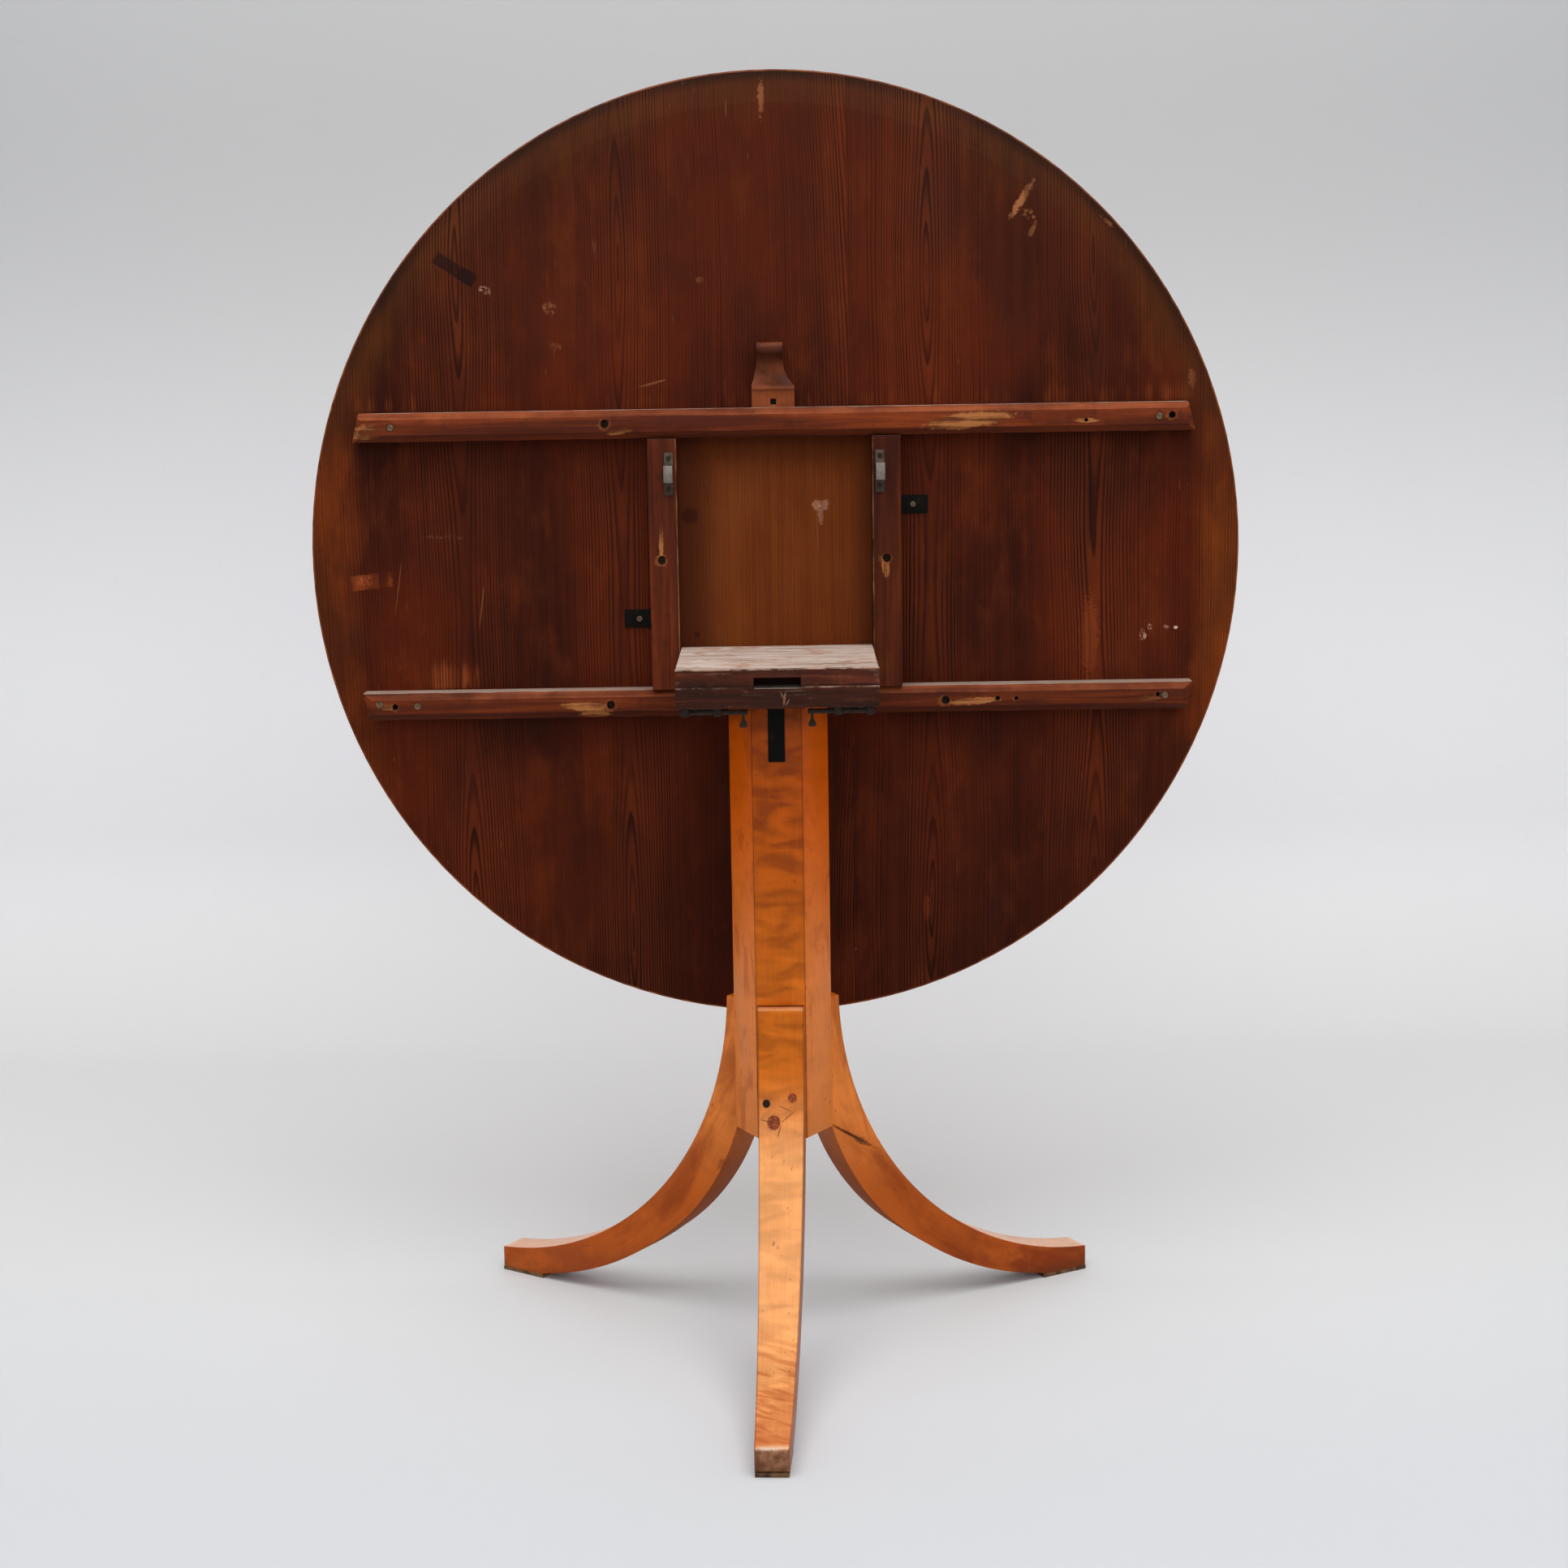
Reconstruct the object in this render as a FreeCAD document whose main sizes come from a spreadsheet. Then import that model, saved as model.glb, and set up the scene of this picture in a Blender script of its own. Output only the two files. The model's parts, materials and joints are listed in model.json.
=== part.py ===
import FreeCAD, Part
import os
import Sketcher

# Round tilt-top table, drawn with the top tipped upright behind its block.
# Millimetres.  The origin is on the floor under the column, +Z is up, -Y is
# the side the front leg points to and +X is to the right of that leg.

doc = FreeCAD.newDocument("tilt_top_table")
sheet = doc.addObject("Spreadsheet::Sheet", "dims")

SIZES = (
    ("base_twist", -2.4),
    ("column_side", 51.1),
    ("column_bottom", 222.0),
    ("tenon_radius", 18.0),
    ("tenon_length", 18.0),
    ("block_top", 722.0),
    ("block_bottom", 680.4),
    ("block_front", -116.0),
    ("block_half_front", 101.0),
    ("block_half_back", 102.6),
    ("block_fascia", 19.0),
    ("block_bevel", 12.0),
    ("block_chamfer", 7.0),
    ("slot_width", 46.4),
    ("slot_bottom", 701.8),
    ("slot_height", 10.8),
    ("slot_depth", 34.0),
    ("pivot_radius", 4.0),
    ("pivot_inner", 78.0),
    ("running_gap", 0.1),
    ("clear_gap", 0.3),
    ("swing_radius", 14.0),
    ("leg_top", 362.5),
    ("leg_top_reach", 54.4),
    ("leg_reach", 377.0),
    ("leg_mid_reach", 155.7),
    ("leg_mid_height", 127.5),
    ("foot_height", 27.9),
    ("leg_half_top", 24.1),
    ("leg_half_tip", 16.3),
    ("under_first_reach", 84.0),
    ("under_first_height", 143.0),
    ("under_mid_reach", 146.6),
    ("under_mid_height", 81.2),
    ("under_second_reach", 225.0),
    ("under_second_height", 33.5),
    ("pad_start", 318.0),
    ("pad_start_height", 6.0),
    ("pad_thickness", 4.6),
    ("nail_radius", 3.2),
    ("nail_length", 12.0),
    ("dovetail_neck", 9.0),
    ("dovetail_root", 13.0),
    ("dovetail_depth", 12.0),
    ("dovetail_length", 112.0),
    ("plug_seat", 20.0),
    ("strap_half_width", 8.5),
    ("strap_thickness", 1.6),
    ("strap_bottom", 618.7),
    ("strap_arm", 50.0),
    ("top_plane", 128.0),
    ("board_thickness", 20.0),
    ("veneer_thickness", 1.6),
    ("top_half_height", 505.4),
    ("top_half_width", 499.0),
    ("top_centre", 820.0),
    ("band_thickness", 1.6),
    ("rim_width", 34.0),
    ("rim_depth", 5.0),
    ("board_inner", 80.0),
    ("board_middle", 250.0),
    ("board_outer", 435.0),
    ("batten_thickness", 34.0),
    ("short_thickness", 33.5),
    ("batten_chamfer", 7.0),
    ("upper_bottom", 945.0),
    ("upper_top", 975.8),
    ("lower_bottom", 649.0),
    ("lower_top", 678.4),
    ("batten_half", 446.0),
    ("batten_slant", 8.0),
    ("end_bevel", 8.0),
    ("short_inner", 103.4),
    ("short_outer", 134.0),
    ("mortise_clear", 0.35),
    ("rod_radius", 2.6),
    ("rod_height", 675.4),
    ("rod_setback", -86.0),
    ("rod_inner", 30.0),
    ("rod_outer", 98.0),
    ("plate_thickness", 1.2),
    ("plate_half_depth", 9.0),
    ("plate_inner", 56.8),
    ("plate_outer", 95.9),
    ("guide_length", 7.0),
    ("guide_half_depth", 4.4),
    ("guide_bottom", 671.4),
    ("knob_centre", 34.4),
    ("knob_radius", 4.3),
    ("knob_bottom", 660.0),
    ("knob_shoulder", 667.2),
    ("stem_radius", 1.3),
    ("keeper_centre", 111.6),
    ("keeper_half_width", 4.8),
    ("keeper_half_length", 22.4),
    ("keeper_hoop", 9.0),
    ("keeper_metal", 1.7),
    ("keeper_proud", 19.0),
    ("bracket_reach", 30.0),
    ("bracket_half_width", 9.8),
    ("bracket_metal", 1.6),
    ("bracket_left_height", 752.6),
    ("bracket_right_height", 871.0),
    ("bracket_rise", 22.0),
    ("tongue_half", 22.6),
    ("tongue_tip", 946.6),
    ("tongue_front", 19.7),
    ("tongue_rabbet", 10.2),
    ("head_bottom", 994.6),
    ("head_top", 1043.4),
    ("head_overhang", 3.6),
    ("lip_half", 13.6),
    ("lip_side", -3.0),
    ("lip_reach", 37.0),
    ("peg_half", 3.0),
    ("peg_height", 981.6),
)

for row, (alias, number) in enumerate(SIZES, start=1):
    sheet.set("A%d" % row, alias)
    sheet.set("B%d" % row, str(number))
    sheet.setAlias("B%d" % row, alias)
doc.recompute()


class Dim:
    """A size with its number and the expression that binds it to the sheet."""

    def __init__(self, number, text):
        self.number = number
        self.text = text

    def __add__(self, other):
        other = as_dim(other)
        return Dim(self.number + other.number, "(%s + %s)" % (self.text, other.text))

    def __sub__(self, other):
        other = as_dim(other)
        return Dim(self.number - other.number, "(%s - %s)" % (self.text, other.text))

    def __mul__(self, other):
        other = as_dim(other)
        return Dim(self.number * other.number, "(%s * %s)" % (self.text, other.text))

    def __neg__(self):
        return self * -1

    __radd__ = __add__
    __rmul__ = __mul__


def as_dim(value):
    if isinstance(value, Dim):
        return value
    return Dim(float(value), "(%s)" % repr(float(value)))


def size(alias):
    return Dim(float(sheet.get(alias)), "dims." + alias)


ROOT_THREE_HALF = 0.8660254
TWIST = size("base_twist").number
FRONT_LEG, RIGHT_LEG, LEFT_LEG = -90.0, 30.0, 150.0
APOTHEM = size("column_side") * ROOT_THREE_HALF
PIVOT_Y = size("top_plane") - size("swing_radius") - size("clear_gap")
PIVOT_Z = size("block_top") - size("swing_radius")
KEEPER_Z = PIVOT_Z + PIVOT_Y - size("rod_setback")
SHORT_FACE = size("top_plane") - size("short_thickness")
LONG_FACE = size("top_plane") - size("batten_thickness")
pieces = []


# ---- small helpers -------------------------------------------------------

def turned(degrees):
    return FreeCAD.Placement(FreeCAD.Vector(0, 0, 0), FreeCAD.Rotation(FreeCAD.Vector(0, 0, 1), degrees))


def new_body(label):
    body = doc.addObject("PartDesign::Body", label)
    body.Label = label
    pieces.append(body)
    return body


def new_sketch(body, name, role, offset=0):
    sketch = body.newObject("Sketcher::SketchObject", body.Name + "_" + name)
    plane = [item for item in body.Origin.OriginFeatures if item.Role == role][0]
    sketch.AttachmentSupport = [(plane, "")]
    sketch.MapMode = "FlatFace"
    offset = as_dim(offset)
    sketch.setExpression("AttachmentOffset.Base.z", offset.text)
    return sketch


def pin_point(sketch, edge, point, across, up):
    """Hold one sketch point at bound distances from the sketch origin."""
    for kind, value in (("DistanceX", as_dim(across)), ("DistanceY", as_dim(up))):
        index = sketch.addConstraint(Sketcher.Constraint(kind, -1, 1, edge, point, value.number))
        sketch.setExpression("Constraints[%d]" % index, value.text)


def flat(point):
    return FreeCAD.Vector(as_dim(point[0]).number, as_dim(point[1]).number, 0)


def outline(sketch, path):
    """Closed outline.  Each entry is (across, up) or (across, up, through) for an arc that
    runs from that point to the next one by way of `through`."""
    edges = []
    for index, start in enumerate(path):
        end = path[(index + 1) % len(path)]
        if len(start) == 3:
            first, through, last = flat(start), flat(start[2]), flat(end)
            turns_left = (through - first).cross(last - through).z > 0
            curve = Part.Arc(first, through, last) if turns_left else Part.Arc(last, through, first)
            edge = sketch.addGeometry(curve, False)
            edges.append((edge, 1, 2) if turns_left else (edge, 2, 1))
            pin_point(sketch, edge, edges[-1][1], start[0], start[1])
            sketch.addConstraint(Sketcher.Constraint("Radius", edge, sketch.Geometry[edge].Radius))
        else:
            line = Part.LineSegment(flat(start), flat(end))
            edge = sketch.addGeometry(line, False)
            edges.append((edge, 1, 2))
            pin_point(sketch, edge, 1, start[0], start[1])
    for index, (edge, _, end_point) in enumerate(edges):
        following = edges[(index + 1) % len(edges)]
        sketch.addConstraint(
            Sketcher.Constraint("Coincident", edge, end_point, following[0], following[1]))


def circle(sketch, across, up, radius):
    edge = sketch.addGeometry(Part.Circle(flat((across, up)), FreeCAD.Vector(0, 0, 1), as_dim(radius).number), False)
    pin_point(sketch, edge, 3, across, up)
    index = sketch.addConstraint(Sketcher.Constraint("Radius", edge, as_dim(radius).number))
    sketch.setExpression("Constraints[%d]" % index, as_dim(radius).text)


def rectangle(sketch, left, bottom, right, top):
    outline(sketch, [(left, bottom), (right, bottom), (right, top), (left, top)])


def pad(body, sketch, length, both_ways=False):
    feature = body.newObject("PartDesign::Pad", sketch.Name + "_pad")
    feature.Profile = (sketch, [""])
    feature.Midplane = both_ways
    feature.setExpression("Length", as_dim(length).text)
    body.Tip = feature
    return feature


def cut(body, sketch, length):
    """Pocket that runs the same way on both sides of its sketch."""
    feature = body.newObject("PartDesign::Pocket", sketch.Name + "_cut")
    feature.Profile = (sketch, [""])
    feature.Midplane = True
    feature.setExpression("Length", as_dim(length).text)
    body.Tip = feature
    return feature


def turn(body, sketch):
    feature = body.newObject("PartDesign::Revolution", sketch.Name + "_turn")
    feature.Profile = (sketch, [""])
    feature.ReferenceAxis = (sketch, ["V_Axis"])
    feature.Angle = 360.0
    body.Tip = feature
    return feature


def slab(body, name, left, right, front, back, bottom, top):
    """Rectangular pad given by its six sides."""
    sketch = new_sketch(body, name, "XY_Plane", bottom)
    rectangle(sketch, left, front, right, back)
    return pad(body, sketch, as_dim(top) - bottom)


# ---- stand ---------------------------------------------------------------

def hexagon():
    side = size("column_side")
    half = side * 0.5
    return [(side, 0), (half, APOTHEM), (-half, APOTHEM), (-side, 0), (-half, -APOTHEM), (half, -APOTHEM)]


def dovetail(clear):
    """Plan of the dovetail on a facet that faces +X."""
    face = APOTHEM + 1.0
    root = APOTHEM - size("dovetail_depth") - clear
    neck = size("dovetail_neck") + clear
    wide = size("dovetail_root") + clear
    return [(root, -wide), (face, -neck), (face, neck), (root, wide)]


def rotated_plan(points, degrees):
    """The same plan turned to another facet of the hexagon."""
    cosine = {FRONT_LEG: 0.0, RIGHT_LEG: ROOT_THREE_HALF, LEFT_LEG: -ROOT_THREE_HALF}[degrees]
    sine = {FRONT_LEG: -1.0, RIGHT_LEG: 0.5, LEFT_LEG: 0.5}[degrees]
    return [(as_dim(a) * cosine - as_dim(b) * sine, as_dim(a) * sine + as_dim(b) * cosine) for a, b in points]


def make_column():
    body = new_body("column")
    plan = new_sketch(body, "plan", "XY_Plane", size("column_bottom"))
    outline(plan, hexagon())
    pad(body, plan, size("block_bottom") - size("column_bottom"))
    tenon = new_sketch(body, "tenon", "XY_Plane", size("block_bottom"))
    circle(tenon, 0, 0, size("tenon_radius"))
    pad(body, tenon, size("tenon_length"))
    for number, degrees in enumerate((FRONT_LEG, RIGHT_LEG, LEFT_LEG)):
        groove = new_sketch(body, "groove%d" % number, "XY_Plane", size("column_bottom"))
        outline(groove, rotated_plan(dovetail(size("running_gap")), degrees))
        cut(body, groove, (size("dovetail_length") + size("running_gap")) * 2)
    for number, (side, height, radius) in enumerate(PLUGS[1:]):
        hole = new_sketch(body, "bore%d" % number, "XZ_Plane", APOTHEM)
        circle(hole, side, height, 2.2)
        cut(body, hole, 60.0)
    body.Placement = turned(TWIST)


def leg_profile():
    return [
        (APOTHEM, size("column_bottom"), (size("under_first_reach"), size("under_first_height"))),
        (size("under_mid_reach"), size("under_mid_height"),
         (size("under_second_reach"), size("under_second_height"))),
        (size("pad_start"), size("pad_start_height")),
        (size("pad_start"), size("pad_thickness")),
        (size("leg_reach"), size("pad_thickness")),
        (size("leg_reach"), size("foot_height"), (size("leg_mid_reach"), size("leg_mid_height"))),
        (size("leg_top_reach"), size("leg_top")),
        (APOTHEM, size("leg_top")),
    ]


def taper_plan(side):
    """Wedge that narrows the leg toward its foot on one side."""
    near, far = size("leg_half_top") * side, size("leg_half_tip") * side
    outside = size("leg_half_top") * (side * 2)
    return [(APOTHEM, near), (size("leg_reach") + 1.0, far), (size("leg_reach") + 1.0, outside), (APOTHEM, outside)]


# Side position, height and radius of the wooden plugs in the front leg.
PLUGS = ((-7.6, 248.8, 6.6), (-15.2, 267.1, 3.8), (11.6, 272.7, 4.2))


def make_leg(label, degrees):
    body = new_body(label)
    profile = new_sketch(body, "profile", "XZ_Plane")
    outline(profile, leg_profile())
    pad(body, profile, size("leg_half_top") * 2, True)
    tongue = new_sketch(body, "tongue", "XY_Plane", size("column_bottom"))
    outline(tongue, dovetail(0))
    pad(body, tongue, size("dovetail_length"))
    for name, side in (("left_taper", 1), ("right_taper", -1)):
        wedge = new_sketch(body, name, "XY_Plane")
        outline(wedge, taper_plan(side))
        cut(body, wedge, size("leg_top") * 3)
    nail = new_sketch(body, "nail_hole", "XY_Plane")
    circle(nail, size("leg_reach") - 24.0, 0, 1.2)
    cut(body, nail, size("nail_length") * 2)
    if degrees == FRONT_LEG:
        for number, (side, height, radius) in enumerate(PLUGS):
            plug = new_sketch(body, "plug%d" % number, "YZ_Plane", APOTHEM + size("plug_seat") + 40.0)
            circle(plug, side, height, radius)
            cut(body, plug, 80.0)
            if number:
                shank = new_sketch(body, "shank%d" % number, "YZ_Plane", APOTHEM)
                circle(shank, side, height, 2.2)
                cut(body, shank, 40.0)
    body.Placement = turned(degrees + TWIST)


def make_foot_pad(label, degrees):
    body = new_body(label)
    plan = new_sketch(body, "plan", "XY_Plane")
    start, end = size("pad_start"), size("leg_reach") - 1.0
    outline(plan, [(start, -17.4), (end, -15.9), (end, 15.9), (start, 17.4)])
    pad(body, plan, size("pad_thickness"))
    seat = new_sketch(body, "seat", "XY_Plane")
    circle(seat, size("leg_reach") - 24.0, 0, size("nail_radius"))
    cut(body, seat, 2.4)
    hole = new_sketch(body, "hole", "XY_Plane")
    circle(hole, size("leg_reach") - 24.0, 0, 1.2)
    cut(body, hole, size("pad_thickness") * 3)
    body.Placement = turned(degrees + TWIST)


def make_foot_nails():
    """One nail through each pad, its head sunk flush with the floor face."""
    head = Part.makeCylinder(size("nail_radius").number, 1.2)
    shank = Part.makeCylinder(1.2, size("nail_length").number)
    nail = head.fuse(shank).removeSplitter()
    nail.translate(FreeCAD.Vector(size("leg_reach").number - 24.0, 0, 0))
    group("foot_nails", [moved(nail, turned(d + TWIST)) for d in (FRONT_LEG, RIGHT_LEG, LEFT_LEG)])


def moved(shape, placement):
    copy = shape.copy()
    copy.Placement = placement.multiply(copy.Placement)
    return copy


def group(label, solids, placement=None):
    """Several separate solids that share one node."""
    item = doc.addObject("Part::Feature", label)
    item.Label = label
    item.Shape = Part.makeCompound(solids)
    if placement:
        item.Placement = placement
    pieces.append(item)


def wood_screw(head_radius, shank_radius, length, head_depth=1.6, slot=0.8):
    """Slotted screw that points along +Y with its head face at the origin."""
    along = FreeCAD.Vector(0, 1, 0)
    start = FreeCAD.Vector(0, 0, 0)
    head = Part.makeCylinder(head_radius, head_depth, start, along)
    point = FreeCAD.Vector(0, length - shank_radius * 2, 0)
    shank = Part.makeCylinder(shank_radius, length - shank_radius * 2, start, along)
    tip = Part.makeCone(shank_radius, 0.4, shank_radius * 2, point, along)
    slit = Part.makeBox(head_radius * 3, 1.2, slot, FreeCAD.Vector(-head_radius * 1.5, -0.6, -slot / 2))
    return head.fuse(shank).fuse(tip).removeSplitter().cut(slit)


def at(x, y, z, spin=0.0):
    return FreeCAD.Placement(FreeCAD.Vector(x, y, z), FreeCAD.Rotation(FreeCAD.Vector(0, 1, 0), spin))


def make_leg_plugs():
    """Wooden plugs over the repair screws, flush with the curved leg face."""
    centre = FreeCAD.Vector(400.7, 0, 373.9)
    solids = []
    for side, height, radius in PLUGS:
        start = APOTHEM.number + size("plug_seat").number + 1.8
        rod = Part.makeCylinder(radius, 40.0, FreeCAD.Vector(start, side, height), FreeCAD.Vector(1, 0, 0))
        hollow = Part.makeCylinder(346.3, 100.0, centre + FreeCAD.Vector(0, -50, 0), FreeCAD.Vector(0, 1, 0))
        solids.append(rod.cut(hollow))
    group("leg_plugs", solids, turned(FRONT_LEG + TWIST))


def make_leg_screws():
    screw = wood_screw(3.6, 2.2, 42.0)
    solids = []
    for side, height, radius in PLUGS[1:]:
        face = -(APOTHEM.number + size("plug_seat").number + 1.6)
        solids.append(moved(screw, at(side, face, height)))
    group("leg_screws", solids, turned(TWIST))


def make_block():
    body = new_body("pivot_block")
    back = PIVOT_Y + size("swing_radius")
    front, bottom, top = size("block_front"), size("block_bottom"), size("block_top")
    diagonal = size("swing_radius") * 0.70710678
    profile = new_sketch(body, "profile", "YZ_Plane")
    outline(profile, [
        (front, top - size("block_fascia")),
        (front + size("block_bevel"), bottom),
        (back - size("block_chamfer"), bottom),
        (back, bottom + size("block_chamfer")),
        (back, PIVOT_Z, (PIVOT_Y + diagonal, PIVOT_Z + diagonal)),
        (PIVOT_Y, top),
        (front, top),
    ])
    pad(body, profile, size("block_half_back") * 2, True)
    for name, side in (("left_side", -1), ("right_side", 1)):
        wedge = new_sketch(body, name, "XY_Plane", top)
        near, far = size("block_half_front") * side, size("block_half_back") * side
        outline(wedge, [(near, front - 1.0), (far, back), (far * 1.1, back), (far * 1.1, front - 1.0)])
        cut(body, wedge, 200.0)
    slot = new_sketch(body, "slot", "XZ_Plane", -front)
    half = size("slot_width") * 0.5
    rectangle(slot, -half, size("slot_bottom"), half, size("slot_bottom") + size("slot_height"))
    cut(body, slot, size("slot_depth") * 2)
    tenon = new_sketch(body, "tenon_hole", "XY_Plane", bottom)
    circle(tenon, 0, 0, size("tenon_radius") + size("running_gap"))
    cut(body, tenon, (size("tenon_length") + size("clear_gap")) * 2)
    for name, side in (("left_pivot", -1), ("right_pivot", 1)):
        hole = new_sketch(body, name, "YZ_Plane", size("block_half_back") * side)
        circle(hole, PIVOT_Y, PIVOT_Z, size("pivot_radius") + size("running_gap"))
        cut(body, hole, (size("block_half_back") - size("pivot_inner") + size("clear_gap")) * 2)


def make_strap():
    """Flat iron angle that ties the column to the underside of the block."""
    body = new_body("iron_strap")
    face, metal = -APOTHEM, size("strap_thickness")
    half = size("strap_half_width")
    top = size("block_bottom")
    slab(body, "arm", -half, half, face - size("strap_arm"), face, top - metal, top)
    slab(body, "drop", -half, half, face - metal, face, size("strap_bottom"), top)
    body.Placement = turned(TWIST)


def make_strap_screws():
    screw = wood_screw(3.2, 1.7, 18.0, 1.2)
    upward = FreeCAD.Rotation(FreeCAD.Vector(1, 0, 0), 90)
    face = -(APOTHEM + size("strap_thickness")).number
    under = (size("block_bottom") - size("strap_thickness")).number
    solids = [moved(screw, FreeCAD.Placement(FreeCAD.Vector(0, face - reach, under - 1.2), upward))
              for reach in (16.0, 38.0)]
    group("strap_screws", solids, turned(TWIST))


# ---- sliding bolts under the block ---------------------------------------

def make_bolt_plate(label, side):
    body = new_body(label)
    low, high = sorted((size("plate_inner") * side, size("plate_outer") * side), key=lambda d: d.number)
    middle, deep = size("rod_setback"), size("plate_half_depth")
    top = size("block_bottom")
    slab(body, "plate", low, high, middle - deep, middle + deep, top - size("plate_thickness"), top)
    loop = size("guide_half_depth")
    for name, start in (("first", low), ("last", high - size("guide_length"))):
        slab(body, name, start, start + size("guide_length"), middle - loop, middle + loop,
             size("guide_bottom"), top - size("plate_thickness"))
    bore = new_sketch(body, "bore", "YZ_Plane")
    circle(bore, middle, size("rod_height"), size("rod_radius") + size("running_gap"))
    cut(body, bore, size("plate_outer") * 4)


def make_bolt_rod(label, side):
    body = new_body(label)
    half = (size("rod_outer") - size("rod_inner")) * 0.5
    section = new_sketch(body, "section", "YZ_Plane", (size("rod_inner") + half) * side)
    circle(section, size("rod_setback"), size("rod_height"), size("rod_radius"))
    pad(body, section, half * 2, True)
    hole = new_sketch(body, "stem_hole", "XY_Plane", size("rod_height") - size("rod_radius"))
    circle(hole, size("knob_centre") * side, size("rod_setback"), size("stem_radius"))
    cut(body, hole, size("rod_radius") * 2)


def make_bolt_knob(label, side):
    """Little bell-shaped pull that hangs from the rod."""
    body = new_body(label)
    stem, bell = size("stem_radius"), size("knob_radius")
    low, shoulder = size("knob_bottom"), size("knob_shoulder")
    half = new_sketch(body, "half", "XZ_Plane")
    outline(half, [
        (0, low),
        (bell * 0.7, low),
        (bell, low + 1.6),
        (bell * 0.8, low + 4.0),
        (stem * 1.5, shoulder),
        (stem, size("rod_height") - size("rod_radius") - 2.0),
        (stem, size("rod_height")),
        (0, size("rod_height")),
    ])
    turn(body, half)
    body.Placement = FreeCAD.Placement(
        FreeCAD.Vector((size("knob_centre") * side).number, size("rod_setback").number, 0), FreeCAD.Rotation())


def make_plate_screws():
    screw = wood_screw(2.1, 1.3, 12.0, 0.8, 0.5)
    upward = FreeCAD.Rotation(FreeCAD.Vector(1, 0, 0), 90)
    under = (size("block_bottom") - size("plate_thickness")).number - 0.8
    solids = []
    for side in (-1, 1):
        for across, deep in ((70.0, 6.2), (82.0, -6.2)):
            spot = FreeCAD.Vector(across * side, size("rod_setback").number + deep, under)
            solids.append(moved(screw, FreeCAD.Placement(spot, upward)))
    group("plate_screws", solids)


# ---- top -----------------------------------------------------------------

def ellipse_slab(name, shrink, front, depth):
    """Upright oval slab whose front face is at y = front."""
    curve = doc.addObject("Part::Ellipse", name + "_curve")
    curve.setExpression("MajorRadius", (size("top_half_height") - shrink).text)
    curve.setExpression("MinorRadius", (size("top_half_width") - shrink).text)
    curve.setExpression("Placement.Base.y", as_dim(front).text)
    curve.setExpression("Placement.Base.z", size("top_centre").text)
    curve.Placement.Rotation = FreeCAD.Rotation(FreeCAD.Vector(0, 0, 1), FreeCAD.Vector(-1, 0, 0),
                                                FreeCAD.Vector(0, 1, 0), "ZXY")
    body = doc.addObject("Part::Extrusion", name)
    body.Base = curve
    body.DirMode = "Custom"
    body.Dir = FreeCAD.Vector(0, 1, 0)
    body.setExpression("LengthFwd", as_dim(depth).text)
    body.Solid = True
    return curve, body


def make_top():
    """Seven glued pine boards, a thin edge band and the show veneer."""
    plane, boards = size("top_plane"), size("board_thickness")
    band, rim = size("band_thickness"), size("rim_depth")
    inner_shrink = band + 0.25
    small, _ = ellipse_slab("rim_inner", size("rim_width"), plane, 1.0)
    wide, core = ellipse_slab("core", inner_shrink, plane + rim, boards - rim)
    bevel = doc.addObject("Part::Loft", "rim_bevel")
    bevel.Sections = [small, wide]
    bevel.Solid = True
    bevel.Ruled = True
    blank = doc.addObject("Part::MultiFuse", "blank")
    blank.Shapes = [bevel, core]
    edges = [-size("top_half_width") - 5.0, -size("board_outer"), -size("board_middle"), -size("board_inner"),
             size("board_inner"), size("board_middle"), size("board_outer"), size("top_half_width") + 5.0]
    for number, (left, right) in enumerate(zip(edges, edges[1:]), start=1):
        strip = doc.addObject("Part::Box", "strip%d" % number)
        strip.setExpression("Length", (right - left).text)
        strip.setExpression("Width", (boards + 2.0).text)
        strip.setExpression("Height", (size("top_half_height") * 2.2).text)
        strip.setExpression("Placement.Base.x", left.text)
        strip.setExpression("Placement.Base.y", (plane - 1.0).text)
        strip.setExpression("Placement.Base.z", (size("top_centre") - size("top_half_height") * 1.1).text)
        board = doc.addObject("Part::Common", "top_board_%d" % number)
        board.Label = "top_board_%d" % number
        board.Base = blank
        board.Tool = strip
        pieces.append(board)
    _, outer = ellipse_slab("band_outer", 0, plane + rim, boards - rim)
    _, inner = ellipse_slab("band_inner", band, plane + rim - 1.0, boards - rim + 2.0)
    ring = doc.addObject("Part::Cut", "edge_band")
    ring.Label = "edge_band"
    ring.Base = outer
    ring.Tool = inner
    pieces.append(ring)
    _, veneer = ellipse_slab("top_veneer", 0, plane + boards, size("veneer_thickness"))
    veneer.Label = "top_veneer"
    pieces.append(veneer)


def section_with_chamfers(low, high, face):
    plane, corner = size("top_plane"), size("batten_chamfer")
    return [(face, low + corner), (face + corner, low), (plane, low), (plane, high),
            (face + corner, high), (face, high - corner)]


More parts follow.
